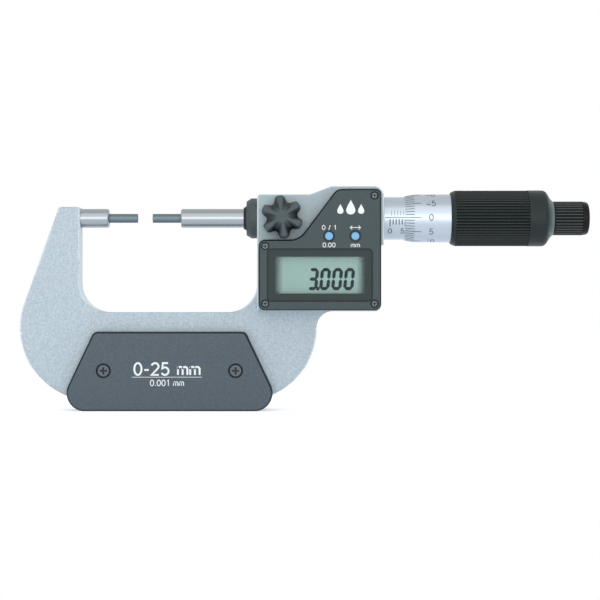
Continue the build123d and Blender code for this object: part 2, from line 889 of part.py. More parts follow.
# ---- Lock: a shoe that presses on the spindle, and its screw with a star knob ----
y_shoe = -(shank_r + shoe_gap)
y_shoe_front = y_shoe - shoe_thickness
y_screw = y_shoe_front - sleeve_slip
y_knob = y_front - knob_gap
y_knob_front = y_knob - knob_depth
screw_socket = 4.0
with BuildPart() as clamp_shoe:
    extrude(discs([(lock_x, 0)], lock_screw_r, y_shoe), amount=shoe_thickness)
    chamfer(faces().sort_by(Axis.Y)[-1].edges(), screw_edge)

with BuildPart() as lock_screw:
    screw_end = y_knob - screw_socket
    extrude(discs([(lock_x, 0)], lock_screw_r, y_screw), amount=y_screw - screw_end)
    chamfer(faces().sort_by(Axis.Y)[-1].edges(), screw_edge)

with BuildPart() as lock_knob:
    # Each valley is an arc that meets the rim where a lobe of the stated width begins.
    lobe_angle = sin(radians(360 / knob_lobes / 2)) * knob_r
    half_valley = lobe_angle - knob_lobe_width / 2
    rim_x = sqrt(knob_r**2 - half_valley**2)
    valley_r = (half_valley**2 + (rim_x - knob_valley_r) ** 2) / (2 * (rim_x - knob_valley_r))
    with BuildSketch(front(y_knob)) as star:
        with Locations((lock_x, 0)):
            Circle(knob_r)
            with PolarLocations(knob_valley_r + valley_r, knob_lobes, knob_first_lobe + 180 / knob_lobes):
                Circle(valley_r, mode=Mode.SUBTRACT)
        fillet(star.vertices(), knob_tip_round)
    extrude(amount=knob_depth)
    chamfer(faces().sort_by(Axis.Y)[0].edges(), knob_edge)
    for index in range(knob_lobes):
        scoop_angle = radians(knob_first_lobe + (index + 0.5) * 360 / knob_lobes)
        outwards = Vector(cos(scoop_angle), 0, sin(scoop_angle))
        face_point = Vector(lock_x, y_knob_front, 0) + outwards * scoop_front
        back_point = Vector(lock_x, y_knob, 0) + outwards * scoop_back
        run = back_point - face_point
        with BuildSketch(Plane(origin=face_point - run * 0.2, z_dir=run)):
            Circle(scoop_r)
        extrude(amount=run.length * 1.4, mode=Mode.SUBTRACT)
    extrude(discs([(lock_x, 0)], lock_screw_r, y_knob), amount=screw_socket, mode=Mode.SUBTRACT)

# ---- Display housing: a moulded shell, open at the back ----
holder_width = view_width + 2 * (lcd_margin + holder_wall + seat)
holder_height = view_height + 2 * (lcd_margin + holder_wall + seat)
cavity_depth = y_housing - y_wall
y_head_seat = y_housing_front + corner_head_height + corner_head_sunk
with BuildPart() as display_housing:
    extrude(housing_outline(y_housing), amount=housing_depth)
    chamfer(faces().sort_by(Axis.Y)[0].edges(), housing_edge)
    extrude(housing_outline(y_housing, housing_wall), amount=cavity_depth, mode=Mode.SUBTRACT)
    # Bosses for the corner screws, and their sunk holes.
    with BuildSketch(front(y_housing)):
        add(discs(corner_screws, corner_boss_r, y_housing))
        add(housing_outline(y_housing, gasket_inset), mode=Mode.INTERSECT)
    extrude(amount=cavity_depth)
    extrude(discs(corner_screws, corner_screw_r, y_housing), amount=housing_depth, mode=Mode.SUBTRACT)
    extrude(
        discs(corner_screws, corner_sink_r, y_head_seat),
        amount=corner_head_height + corner_head_sunk,
        mode=Mode.SUBTRACT,
    )
    # Window recess with a ledge round the opening.
    extrude(
        rectangle(window_x, window_z, window_width, window_height, y_mask, window_corner),
        amount=window_thickness + window_sunk,
        mode=Mode.SUBTRACT,
    )
    ledge_width = window_width - 2 * window_ledge
    ledge_height = window_height - 2 * window_ledge
    extrude(
        rectangle(window_x, window_z, ledge_width, ledge_height, y_wall, window_corner / 2),
        amount=housing_wall,
        mode=Mode.SUBTRACT,
    )
    # Button holes with a counterbore for the coloured rings.
    extrude(discs(buttons, button_r + turning, y_wall), amount=housing_wall, mode=Mode.SUBTRACT)
    extrude(discs(buttons, ring_r, y_housing_front + ring_depth), amount=ring_depth, mode=Mode.SUBTRACT)

with BuildPart() as housing_gasket:
    with BuildSketch(front(y_front)):
        add(housing_outline(0, gasket_inset))
        add(housing_outline(0, gasket_inset + gasket_width), mode=Mode.SUBTRACT)
        add(discs(corner_screws, corner_boss_r, 0))
        add(housing_outline(0, gasket_inset), mode=Mode.INTERSECT)
        add(discs(corner_screws, corner_screw_r, 0), mode=Mode.SUBTRACT)
    extrude(amount=gasket_thickness)

with BuildPart() as housing_screws:
    extrude(discs(corner_screws, corner_head_r, y_head_seat), amount=corner_head_height)
    chamfer(faces().group_by(Axis.Y)[0].edges(), screw_edge / 2)
    y_screw_end = y_front + corner_screw_reach
    extrude(discs(corner_screws, corner_screw_r, y_screw_end), amount=y_screw_end - y_head_seat)
    y_cross = y_head_seat - corner_head_height + corner_cross_depth
    extrude(
        crosses(corner_screws, corner_cross_length, corner_cross_width, y_cross),
        amount=corner_cross_depth,
        mode=Mode.SUBTRACT,
    )

with BuildPart() as display_window:
    extrude(
        rectangle(
            window_x,
            window_z,
            window_width - 2 * seat,
            window_height - 2 * seat,
            y_mask,
            window_corner - seat,
        ),
        amount=window_thickness,
    )

with BuildPart() as display_mask:
    mask_depth = y_wall - y_mask
    mask_width = ledge_width - 2 * seat
    mask_height = ledge_height - 2 * seat
    mask_corner = window_corner / 2 - seat
    extrude(rectangle(window_x, window_z, mask_width, mask_height, y_wall, mask_corner), amount=mask_depth)
    extrude(
        rectangle(window_x, window_z, view_width, view_height, y_wall),
        amount=mask_depth,
        mode=Mode.SUBTRACT,
    )

lcd_width = view_width + 2 * lcd_margin
lcd_height = view_height + 2 * lcd_margin
with BuildPart() as lcd_panel:
    extrude(rectangle(window_x, window_z, lcd_width, lcd_height, y_lcd), amount=lcd_thickness)

with BuildPart() as lcd_holder:
    holder_depth = y_board - y_wall
    extrude(rectangle(window_x, window_z, holder_width, holder_height, y_board), amount=holder_depth)
    extrude(
        rectangle(window_x, window_z, lcd_width + 2 * seat, lcd_height + 2 * seat, y_board),
        amount=holder_depth,
        mode=Mode.SUBTRACT,
    )

with BuildPart() as zebra_strips:
    for side in (-1, 1):
        strip_z = window_z + side * (lcd_height - zebra_width) / 2
        extrude(rectangle(window_x, strip_z, lcd_width - 2, zebra_width, y_board), amount=zebra_thickness)

with BuildPart() as circuit_board:
    board_bottom = bottom + 2.0
    board_height = -board_top - board_bottom
    board_z = board_bottom + board_height / 2
    with BuildSketch(front(y_board_back)):
        add(rectangle(window_x, board_z, board_width, board_height, 0, housing_edge))
        add(housing_outline(0, housing_wall + 4 * seat), mode=Mode.INTERSECT)
    extrude(amount=board_thickness)

with BuildPart() as board_chips:
    # Middle, width and height of each chip.
    chips = [
        (window_x - 9.0, window_z + 4.5, 6.0, 6.0),
        (window_x + 9.5, window_z - 4.0, 5.0, 4.0),
        (window_x - 8.5, window_z - 4.5, 3.2, 2.4),
    ]
    for chip_x, chip_z, chip_width, chip_height in chips:
        chip = rectangle(chip_x, chip_z, chip_width, chip_height, y_board_back + chip_thickness)
        extrude(chip, amount=chip_thickness)

# ---- Buttons: caps that press switches on the board, in rings set into the housing ----
y_switch = y_board - switch_height
y_stem = y_switch - button_stroke - turning
with BuildPart() as tact_switches:
    for button_x, button_z in buttons:
        extrude(rectangle(button_x, button_z, switch_size, switch_size, y_board), amount=switch_height)

with BuildPart() as button_rings:
    extrude(discs(buttons, ring_r, y_housing_front + ring_depth), amount=ring_depth)
    chamfer(faces().group_by(Axis.Y)[0].edges().filter_by(GeomType.CIRCLE), 2 * seat)
    extrude(
        discs(buttons, button_r + turning, y_housing_front + ring_depth),
        amount=ring_depth,
        mode=Mode.SUBTRACT,
    )

button_parts = []
for button_x, button_z in buttons:
    with BuildPart() as button:
        y_cap_face = y_housing_front - button_proud
        flange_front = y_wall + seat
        revolve(
            section_at(
                [
                    (0, y_cap_face),
                    (button_r, y_cap_face),
                    (button_r, flange_front),
                    (button_flange_r, flange_front),
                    (button_flange_r, flange_front + button_flange),
                    (button_r, flange_front + button_flange),
                    (button_r, y_stem),
                    (0, y_stem),
                ],
                button_x,
                button_z,
            ),
            axis=line_at(button_x, button_z),
        )
        fillet(faces().sort_by(Axis.Y)[0].edges(), button_round)
    button_parts.append(button)
power_button, mode_button = button_parts

# ---- Battery: a cell in an insulating cup, its contact, and a coin-slotted cap with an O-ring ----
with BuildPart() as battery:
    extrude(discs(battery_places, cell_r, y_cell + cell_thickness), amount=cell_thickness)
    chamfer(faces().sort_by(Axis.Y)[-1].edges(), screw_edge)

with BuildPart() as battery_cup:
    revolve(
        section_at(
            [
                (contact_r, y_front),
                (contact_r + contact_wall, y_front),
                (contact_r + contact_wall, y_cup),
                (cup_r, y_cup),
                (cup_r, y_cell + cell_thickness),
                (cell_r + turning, y_cell + cell_thickness),
                (cell_r + turning, y_cell - contact_disc),
                (contact_r, y_cell - contact_disc),
            ],
            battery_x,
            battery_z,
        ),
        axis=line_at(battery_x, battery_z),
    )

with BuildPart() as battery_contact:
    pin_length = y_cell - contact_disc - y_board_back
    extrude(discs(battery_places, contact_r, y_cell - contact_disc), amount=pin_length)
    extrude(discs(battery_places, contact_disc_r, y_cell), amount=contact_disc)

with BuildPart() as cap_seal:
    revolve(
        section_at(
            [
                (cup_r + turning, y_cap - oring_thickness),
                (cap_flange_r - 2 * turning, y_cap - oring_thickness),
                (cap_flange_r - 2 * turning, y_cap),
                (cup_r + turning, y_cap),
            ],
            battery_x,
            battery_z,
        ),
        axis=line_at(battery_x, battery_z),
    )

with BuildPart() as battery_cap:
    stem_front = y_cell + cell_thickness + turning
    cap_face = y_cap + cap_flange
    revolve(
        section_at(
            [
                (0, stem_front),
                (cup_r, stem_front),
                (cup_r, y_cap),
                (cap_flange_r, y_cap),
                (cap_flange_r, cap_face),
                (0, cap_face),
            ],
            battery_x,
            battery_z,
        ),
        axis=line_at(battery_x, battery_z),
    )
    chamfer(faces().sort_by(Axis.Y)[-1].edges(), screw_edge)
    extrude(
        rectangle(battery_x, battery_z, 1.5 * cap_flange_r, coin_slot_width, cap_face),
        amount=coin_slot_depth,
        mode=Mode.SUBTRACT,
    )

# ---- Labels and files ----
pieces = {
    "frame": frame,
    "anvil": anvil,
    "anvil_tip": anvil_tip,
    "front_grip_plate": front_grip_plate,
    "back_grip_plate": back_grip_plate,
    "front_plate_screws": front_plate_screws,
    "back_plate_screws": back_plate_screws,
    "spindle_guide_bush": spindle_guide_bush,
    "seal_collar": seal_collar,
    "wiper_seal": wiper_seal,
    "spindle": spindle,
    "spindle_tip": spindle_tip,
    "thrust_ring": thrust_ring,
    "encoder_rotor": encoder_rotor,
    "rotor_key": rotor_key,
    "encoder_stator": encoder_stator,
    "ribbon_cable": ribbon_cable,
    "barrel": barrel,
    "adjusting_nut": adjusting_nut,
    "sleeve": sleeve,
    "thimble": thimble,
    "thimble_grip": thimble_grip,
    "ratchet_disc": ratchet_disc,
    "pawl_disc": pawl_disc,
    "ratchet_springs": ratchet_springs,
    "ratchet_knob": ratchet_knob,
    "ratchet_screw": ratchet_screw,
    "clamp_shoe": clamp_shoe,
    "lock_screw": lock_screw,
    "lock_knob": lock_knob,
    "display_housing": display_housing,
    "housing_gasket": housing_gasket,
    "housing_screws": housing_screws,
    "display_window": display_window,
    "display_mask": display_mask,
    "lcd_panel": lcd_panel,
    "lcd_holder": lcd_holder,
    "zebra_strips": zebra_strips,
    "circuit_board": circuit_board,
    "board_chips": board_chips,
    "tact_switches": tact_switches,
    "button_rings": button_rings,
    "power_button": power_button,
    "mode_button": mode_button,
    "battery": battery,
    "battery_cup": battery_cup,
    "battery_contact": battery_contact,
    "cap_seal": cap_seal,
    "battery_cap": battery_cap,
}
os.makedirs("parts", exist_ok=True)
for name, piece in pieces.items():
    piece.part.label = name
    export_step(piece.part, f"parts/{name}.step")
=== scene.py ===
import math

import bmesh
import bpy
import numpy as np
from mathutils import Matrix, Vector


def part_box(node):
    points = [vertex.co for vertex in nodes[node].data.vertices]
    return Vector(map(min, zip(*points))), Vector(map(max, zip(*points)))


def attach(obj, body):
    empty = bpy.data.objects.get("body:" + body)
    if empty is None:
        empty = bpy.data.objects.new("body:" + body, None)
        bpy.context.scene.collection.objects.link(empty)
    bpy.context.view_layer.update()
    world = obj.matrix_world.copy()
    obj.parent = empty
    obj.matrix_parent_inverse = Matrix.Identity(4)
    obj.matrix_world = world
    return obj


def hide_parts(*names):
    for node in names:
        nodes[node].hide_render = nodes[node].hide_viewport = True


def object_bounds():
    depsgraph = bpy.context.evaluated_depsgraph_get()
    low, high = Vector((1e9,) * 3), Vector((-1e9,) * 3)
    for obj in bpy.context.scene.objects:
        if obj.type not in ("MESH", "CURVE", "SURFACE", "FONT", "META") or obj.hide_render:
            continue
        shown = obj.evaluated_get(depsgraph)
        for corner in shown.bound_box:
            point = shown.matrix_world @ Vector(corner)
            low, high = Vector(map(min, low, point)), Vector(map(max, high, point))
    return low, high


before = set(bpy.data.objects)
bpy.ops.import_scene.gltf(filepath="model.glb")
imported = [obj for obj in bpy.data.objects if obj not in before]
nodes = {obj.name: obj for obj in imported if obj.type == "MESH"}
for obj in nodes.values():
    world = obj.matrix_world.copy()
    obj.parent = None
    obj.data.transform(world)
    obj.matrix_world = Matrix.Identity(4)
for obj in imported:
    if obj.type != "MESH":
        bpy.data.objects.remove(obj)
cad_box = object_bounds()


# ---- Painted frame ----
# The U and the block on its right arm are one steel forging. It is sprayed with a grey-blue
# paint that dries to a fine mottle, smoother on the milled block, with light painted on its sides.
def shade(red, green, blue):
    """Linear colour of an 8-bit screen colour: each channel goes through the sRGB curve."""
    channels = np.array([red, green, blue]) / 255
    linear = np.where(channels > 0.04045, ((channels + 0.055) / 1.055) ** 2.4, channels / 12.92)
    return (*linear.tolist(), 1.0)


def finish(name, roughness, metal=0.0, specular=0.5):
    """New material with one shader, whose plain values stand on its own sockets."""
    material = bpy.data.materials.new(name)
    material.use_nodes = True
    shader = material.node_tree.nodes["Principled BSDF"]
    shader.inputs["Roughness"].default_value = roughness
    shader.inputs["Metallic"].default_value = metal
    shader.inputs["Specular IOR Level"].default_value = specular
    return material, material.node_tree, shader


def add_node(tree, kind, settings=None, **inputs):
    """New node, with its settings, and its input values or the sockets that feed them."""
    made = tree.nodes.new(kind)
    for key, value in (settings or {}).items():
        setattr(made, key, value)
    for key, value in inputs.items():
        socket = made.inputs[int(key[1:])] if key[1:].isdigit() else made.inputs[key.replace("_", " ")]
        if isinstance(value, bpy.types.NodeSocket):
            tree.links.new(value, socket)
        else:
            socket.default_value = value
    return made


def math_node(tree, operation, *values):
    """Result of one arithmetic step on numbers or sockets."""
    inputs = {f"i{index}": value for index, value in enumerate(values)}
    return add_node(tree, "ShaderNodeMath", {"operation": operation}, **inputs).outputs[0]


def spread_node(tree, value, low, high, out_low, out_high):
    """Value stretched from low..high to out_low..out_high, held at both ends."""
    made = add_node(tree, "ShaderNodeMapRange", None, i0=value, i1=low, i2=high, i3=out_low, i4=out_high)
    return made.outputs[0]


def mix_node(tree, share, first, second):
    """The first colour, turning to the second as share goes from 0 to 1."""
    settings = {"data_type": "RGBA"}
    return add_node(tree, "ShaderNodeMix", settings, i0=share, i6=first, i7=second).outputs[2]


def new_group(name, inputs, outputs):
    """Empty shader node group with these sockets; returns it with its input and output nodes."""
    group = bpy.data.node_groups.new(name, "ShaderNodeTree")
    kinds = {"colour": "NodeSocketColor", "value": "NodeSocketFloat"}
    for direction, sockets in (("INPUT", inputs), ("OUTPUT", outputs)):
        for label, kind in sockets.items():
            group.interface.new_socket(label, in_out=direction, socket_type=kinds[kind])
    return group, group.nodes.new("NodeGroupInput"), group.nodes.new("NodeGroupOutput")


def mottle_group():
    """Fine mottle: the colour times 1 plus or minus spread, by noise of that many cells a metre."""
    group, given, result = new_group(
        "fine_mottle",
        {"Colour": "colour", "Cells": "value", "Spread": "value"},
        {"Colour": "colour", "Height": "value"},
    )
    place = add_node(group, "ShaderNodeTexCoord").outputs["Object"]
    noise = add_node(
        group, "ShaderNodeTexNoise", None, Vector=place, Scale=given.outputs["Cells"], Detail=3.0
    ).outputs[0]
    low = math_node(group, "SUBTRACT", 1.0, given.outputs["Spread"])
    high = math_node(group, "ADD", 1.0, given.outputs["Spread"])
    factor = spread_node(group, noise, 0.32, 0.68, low, high)
    scaled = add_node(
        group, "ShaderNodeVectorMath", {"operation": "SCALE"}, i0=given.outputs["Colour"], Scale=factor
    )
    group.links.new(scaled.outputs[0], result.inputs["Colour"])
    grain_cells = math_node(group, "MULTIPLY", given.outputs["Cells"], 2.3)
    grain = add_node(group, "ShaderNodeTexNoise", None, Vector=place, Scale=grain_cells, Detail=2.0)
    group.links.new(grain.outputs[0], result.inputs["Height"])
    return group


def edge_group():
    """Painted edge shade: one colour where a surface faces the front or back, and another, painted
    as shade, on its edges, in full on upper edges and in the given share on lower ones."""
    group, given, result = new_group(
        "painted_edge_shade", {"Colour": "colour", "Edge": "colour", "Below": "value"}, {"Colour": "colour"}
    )
    facing = add_node(group, "ShaderNodeTexCoord").outputs["Normal"]
    axes = add_node(group, "ShaderNodeSeparateXYZ", None, Vector=facing)
    flat = spread_node(group, math_node(group, "ABSOLUTE", axes.outputs["Y"]), 0.78, 0.96, 1.0, 0.0)
    upper = spread_node(group, axes.outputs["Z"], -0.4, 0.2, given.outputs["Below"], 1.0)
    mixed = mix_node(
        group, math_node(group, "MULTIPLY", flat, upper), given.outputs["Colour"], given.outputs["Edge"]
    )
    group.links.new(mixed, result.inputs["Colour"])
    return group


def use_group(tree, group, **inputs):
    """Places a node group in a material with its own values."""
    return add_node(tree, "ShaderNodeGroup", {"node_tree": group}, **inputs)


def add_bump(tree, shader, height, distance, strength=1.0):
    """Feeds a height, in units of distance metres, to the shader's normal."""
    bump = add_node(tree, "ShaderNodeBump", None, Strength=strength, Distance=distance, Height=height)
    tree.links.new(bump.outputs[0], shader.inputs["Normal"])


def cover(material, *names):
    """Puts the material on these CAD nodes."""
    for name in names:
        for place in nodes[name].material_slots:
            place.material = material


fine_mottle = mottle_group()
painted_edge_shade = edge_group()

frame_paint, tree, shader = finish("frame_paint", 0.42, specular=0.4)
facing = add_node(tree, "ShaderNodeTexCoord").outputs["Normal"]
sideways = add_node(tree, "ShaderNodeSeparateXYZ", None, Vector=facing).outputs["X"]
# Painted light: surfaces and edges that face sideways turn to a lighter colour.
on_side = spread_node(tree, math_node(tree, "ABSOLUTE", sideways), 0.2, 0.6, 0.0, 1.0)
painted_side_light = shade(214, 226, 234)
rough_tone = mix_node(tree, on_side, shade(179, 193, 202), painted_side_light)
mottled = use_group(tree, fine_mottle, Colour=rough_tone, Cells=1500.0, Spread=0.14)
smooth_tone = mix_node(tree, on_side, shade(168, 185, 192), painted_side_light)
smooth = use_group(tree, fine_mottle, Colour=smooth_tone, Cells=800.0, Spread=0.05)
block_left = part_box("spindle_guide_bush")[0].x
block_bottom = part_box("display_housing")[0].z
place = add_node(tree, "ShaderNodeTexCoord").outputs["Object"]
axes = add_node(tree, "ShaderNodeSeparateXYZ", None, Vector=place)
past_left = spread_node(tree, axes.outputs["X"], block_left - 0.0004, block_left + 0.0004, 0.0, 1.0)
past_bottom = spread_node(tree, axes.outputs["Z"], block_bottom - 0.0008, block_bottom, 0.0, 1.0)
on_block = math_node(tree, "MULTIPLY", past_left, past_bottom)
coat = mix_node(tree, on_block, mottled.outputs["Colour"], smooth.outputs["Colour"])
tree.links.new(coat, shader.inputs["Base Color"])
add_bump(tree, shader, mottled.outputs["Height"], 0.00004, 0.5)
cover(frame_paint, "frame")


# ---- Grip plates ----
# Two thin plates of slate-coloured plastic with a fine moulded grain, screwed on both sides of
# the beam so that the hand's warmth stays off the steel. The range is printed on the front one.
def arc(centre, radii, start, end, count=16):
    """Points of an ellipse arc between two angles in degrees, as rows of u, v."""
    angle = np.radians(np.linspace(start, end, count))
    return np.stack([centre[0] + radii[0] * np.cos(angle), centre[1] + radii[1] * np.sin(angle)], 1)


def bar(path, width, low, high, closed=False):
    """Bar of that width along a flat path, from height low to high. At each point the two sides
    stand half a width along the mitre, which is the mean of the two runs' normals."""
    path = np.asarray(path, float)
    before = np.roll(path, 1, 0)
    after = np.roll(path, -1, 0)
    if not closed:
        before[0] = 2 * path[0] - path[1]
        after[-1] = 2 * path[-1] - path[-2]
    run_in = path - before
    run_out = after - path
    run_in /= np.linalg.norm(run_in, axis=1, keepdims=True)
    run_out /= np.linalg.norm(run_out, axis=1, keepdims=True)
    mitre = run_in + run_out
    mitre /= np.linalg.norm(mitre, axis=1, keepdims=True)
    stretch = 1 / np.clip((mitre * run_in).sum(1, keepdims=True), 0.5, 1)
    side = np.stack([-mitre[:, 1], mitre[:, 0]], 1) * stretch * width / 2
    ring = [(path + side, low), (path - side, low), (path - side, high), (path + side, high)]
    points = np.stack([np.column_stack([flat, np.full(len(path), level)]) for flat, level in ring], 1)
    count = len(path)
    corner = np.arange(count * 4).reshape(count, 4)
    following = np.roll(corner, -1, 0)
    if not closed:
        corner, following = corner[:-1], following[:-1]
    turned = np.roll(corner, -1, 1)
    turned_following = np.roll(following, -1, 1)
    faces = np.stack([corner, turned, turned_following, following], 2).reshape(-1, 4).tolist()
    if not closed:
        faces += [[3, 2, 1, 0], [4 * count - 4, 4 * count - 3, 4 * count - 2, 4 * count - 1]]
    return points.reshape(-1, 3), faces


def slab(outline, low, high):
    """Solid under a flat closed outline: its copy at low, its copy at high, and a wall."""
    outline = np.asarray(outline, float)
    count = len(outline)
    points = np.concatenate(
        [np.column_stack([outline, np.full(count, level)]) for level in (low, high)]
    )
    here = np.arange(count)
    ahead = np.roll(here, -1)
    wall = np.stack([here, ahead, ahead + count, here + count], 1).tolist()
    return points, [*wall, here[::-1].tolist(), (here + count).tolist()]


def joined(solids):
    """Several (points, faces) pairs as one pair."""
    faces = []
    start = 0
    for points, group in solids:
        faces += [[corner + start for corner in face] for face in group]
        start += len(points)
    return np.concatenate([points for points, _ in solids]), faces


def arches(left, height, width):
    """One arch of a lower-case m: up its left side, over, and down its right side."""
    top = arc((left + width / 2, height - width / 2), (width / 2, width / 2), 180, 0, 10)
    return np.concatenate([top, [[left + width, 0]]])


def pen(*runs):
    """One open path through points and arcs in turn."""
    return np.concatenate(runs), False


# Single-stroke figures, each one unit high: the paths, whether they close, and the width.
figures = {
    "0": ([(arc((0.29, 0.5), (0.29, 0.5), 0, 350, 28), True)], 0.58),
    "1": ([pen([[0.08, 0.78], [0.32, 1.0], [0.32, 0.0]])], 0.42),
    "2": ([pen(arc((0.28, 0.72), (0.28, 0.28), 165, -32, 14), [[0.0, 0.0], [0.58, 0.0]])], 0.58),
    "3": (
        [
            pen(arc((0.27, 0.75), (0.25, 0.25), 160, -90, 14)),
            pen(arc((0.27, 0.26), (0.29, 0.26), 90, -160, 14)),
        ],
        0.56,
    ),
    "4": ([pen([[0.44, 0.0], [0.44, 1.0], [0.0, 0.28], [0.6, 0.28]])], 0.6),
    "5": (
        [pen([[0.52, 1.0], [0.1, 1.0], [0.05, 0.55]], arc((0.26, 0.32), (0.3, 0.32), 112, -150, 16))],
        0.56,
    ),
    "m": (
        [pen([[0.0, 0.0], [0.0, 0.68]]), pen(arches(0.0, 0.68, 0.38)), pen(arches(0.38, 0.68, 0.38))],
        0.76,
    ),
    "-": ([pen([[0.0, 0.42], [0.36, 0.42]])], 0.36),
    ".": ([pen([[0.0, 0.06], [0.12, 0.06]])], 0.12),
    "/": ([pen([[0.0, -0.05], [0.34, 1.05]])], 0.34),
    "<->": (
        [
            pen([[0.4, 0.95], [0.0, 0.5], [0.4, 0.05]]),
            pen([[1.7, 0.95], [2.1, 0.5], [1.7, 0.05]]),
            pen([[0.1, 0.5], [2.0, 0.5]]),
        ],
        2.1,
    ),
    " ": ([], 0.3),
}


def lettering(text, height, stroke, low, high, gap=0.2, stretch=1.0):
    """Figures side by side, centred on the origin, as thin bars along their strokes."""
    solids = []
    start = 0.0
    for mark in text:
        paths, width = figures[mark]
        for path, closed in paths:
            flat = (path * [stretch, 1.0] + [start, -0.5]) * height
            solids.append(bar(flat, stroke, low, high, closed))
        start += width * stretch + gap
    points, faces = joined(solids)
    points[:, 0] -= (start - gap) * height / 2
    return points, faces


def on_front(solid, x, y, z):
    """Lays a flat solid on a face that looks to -Y: u runs along +X, v along +Z, height to -Y."""
    points, faces = solid
    return np.stack([x + points[:, 0], y - points[:, 2], z + points[:, 1]], 1), faces


def new_piece(name, solid, material, body, angle=30.0):
    """Mesh piece from points and faces, with outward faces and edges sharp above the angle."""
    points, faces = solid
    mesh = bpy.data.meshes.new(name)
    mesh.from_pydata(points.tolist(), [], faces)
    shape = bmesh.new()
    shape.from_mesh(mesh)
    bmesh.ops.recalc_face_normals(shape, faces=shape.faces)
    shape.to_mesh(mesh)
    shape.free()
    mesh.shade_smooth()
    mesh.set_sharp_from_angle(angle=math.radians(angle))
    mesh.materials.append(material)
    piece = bpy.data.objects.new(name, mesh)
    bpy.context.scene.collection.objects.link(piece)
    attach(piece, body)
    return piece


def mottled_finish(
    name, colour, roughness, cells, spread, specular=0.5, edge=None, below=1.0, relief=None, strength=0.5
):
    """Finish in one mottled colour. An edge colour is painted shade on the edges, in full on upper
    ones and in the share below on lower ones. Relief is the mottle's height in metres."""
    material, tree, shader = finish(name, roughness, specular=specular)
    mottled = use_group(tree, fine_mottle, Colour=colour, Cells=cells, Spread=spread)
    toned = mottled
    if edge:
        toned = use_group(tree, painted_edge_shade, Colour=mottled.outputs["Colour"], Edge=edge, Below=below)
    tree.links.new(toned.outputs["Colour"], shader.inputs["Base Color"])
    if relief:
        add_bump(tree, shader, mottled.outputs["Height"], relief, strength)
    return material


# The plates' edges get painted shade, in full on upper edges and half on lower ones.
plate_plastic = mottled_finish(
    "plate_plastic",
    shade(82, 93, 101),
    roughness=0.6,
    cells=1900.0,
    spread=0.14,
    specular=0.25,
    edge=shade(36, 41, 46),
    below=0.5,
    relief=0.00004,
    strength=0.6,
)
cover(plate_plastic, "front_grip_plate", "back_grip_plate")

white_print = mottled_finish("white_print", shade(240, 243, 244), 0.55, 2500.0, 0.03, specular=0.3)
print_layer = (-0.00003, 0.00002)
plate_low, plate_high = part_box("front_grip_plate")
print_x = (plate_low.x + plate_high.x) / 2 - 0.0008
rule_half = 0.0116
range_print = lettering("0-25 mm", 0.0039, 0.00064, *print_layer, gap=0.24, stretch=1.05)
rule_print = bar([[-rule_half, 0.0], [rule_half, 0.0]], 0.00016, *print_layer)
step_print = lettering("0.001 mm", 0.0019, 0.0003, *print_layer, gap=0.24)
plate_print = [
    on_front(flat, print_x, plate_low.y, plate_low.z + rise)
    for flat, rise in ((range_print, 0.0140), (rule_print, 0.0113), (step_print, 0.0094))
]
new_piece("plate_print", joined(plate_print), white_print, "frame")


# ---- Plate screws ----
# Four cross-recessed screws of blackened steel, a little below the plates' faces. Their
# recesses carry painted shade, darker than the heads.
def recessed_steel(name, face_y, recess, head, recess_shade):
    """Screw steel: the head's colour, which turns to the painted recess shade from 0.3 to 0.8 of
    the recess's depth inside the head's face. Y is taken without its sign."""
    material, tree, shader = finish(name, 0.4, metal=0.7)
    place = add_node(tree, "ShaderNodeTexCoord").outputs["Object"]
    depth = add_node(tree, "ShaderNodeSeparateXYZ", None, Vector=place).outputs["Y"]
    out = math_node(tree, "ABSOLUTE", depth)
    on_head = spread_node(tree, out, face_y - recess * 0.8, face_y - recess * 0.3, 0.0, 1.0)
    toned = mix_node(tree, on_head, recess_shade, head)
    grained_steel = use_group(tree, fine_mottle, Colour=toned, Cells=2600.0, Spread=0.3)
    tree.links.new(grained_steel.outputs["Colour"], shader.inputs["Base Color"])
    add_bump(tree, shader, grained_steel.outputs["Height"], 0.00002, 0.4)
    return material


plate_screw_y = -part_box("front_plate_screws")[0].y
screw_black = recessed_steel(
    "plate_screw_steel", plate_screw_y, recess=0.0006, head=shade(80, 86, 91), recess_shade=shade(36, 40, 44)
)
cover(screw_black, "front_plate_screws", "back_plate_screws")
# The ratchet's screw lies so near the measuring line that it takes the painted recess shade all over.
cover(screw_black, "ratchet_screw")


# ---- Anvil and spindle ----
# Hardened steel, ground between centres and lapped, so that fine rings run round it. The thin
# measuring tips are darker hard metal, pressed into the shanks.
def rings_group():
    """Lathe or grinding rings: noise along X alone, at so many rings a metre, changes the
    colour by plus or minus spread and the roughness by the same share."""
    group, given, result = new_group(
        "turned_rings",
        {"Colour": "colour", "Rings": "value", "Spread": "value", "Roughness": "value"},
        {"Colour": "colour", "Roughness": "value", "Height": "value"},
    )
    place = add_node(group, "ShaderNodeTexCoord").outputs["Object"]
    along = add_node(group, "ShaderNodeSeparateXYZ", None, Vector=place).outputs["X"]
    count = math_node(group, "MULTIPLY", along, given.outputs["Rings"])
    noise = add_node(group, "ShaderNodeTexNoise", {"noise_dimensions": "1D"}, W=count, Scale=1.0, Detail=4.0)
    low = math_node(group, "SUBTRACT", 1.0, given.outputs["Spread"])
    high = math_node(group, "ADD", 1.0, given.outputs["Spread"])
    factor = spread_node(group, noise.outputs[0], 0.3, 0.7, low, high)
    scaled = add_node(
        group, "ShaderNodeVectorMath", {"operation": "SCALE"}, i0=given.outputs["Colour"], Scale=factor
    )
    group.links.new(scaled.outputs[0], result.inputs["Colour"])
    rough = math_node(group, "MULTIPLY", given.outputs["Roughness"], factor)
    group.links.new(rough, result.inputs["Roughness"])
    group.links.new(noise.outputs[0], result.inputs["Height"])
    return group


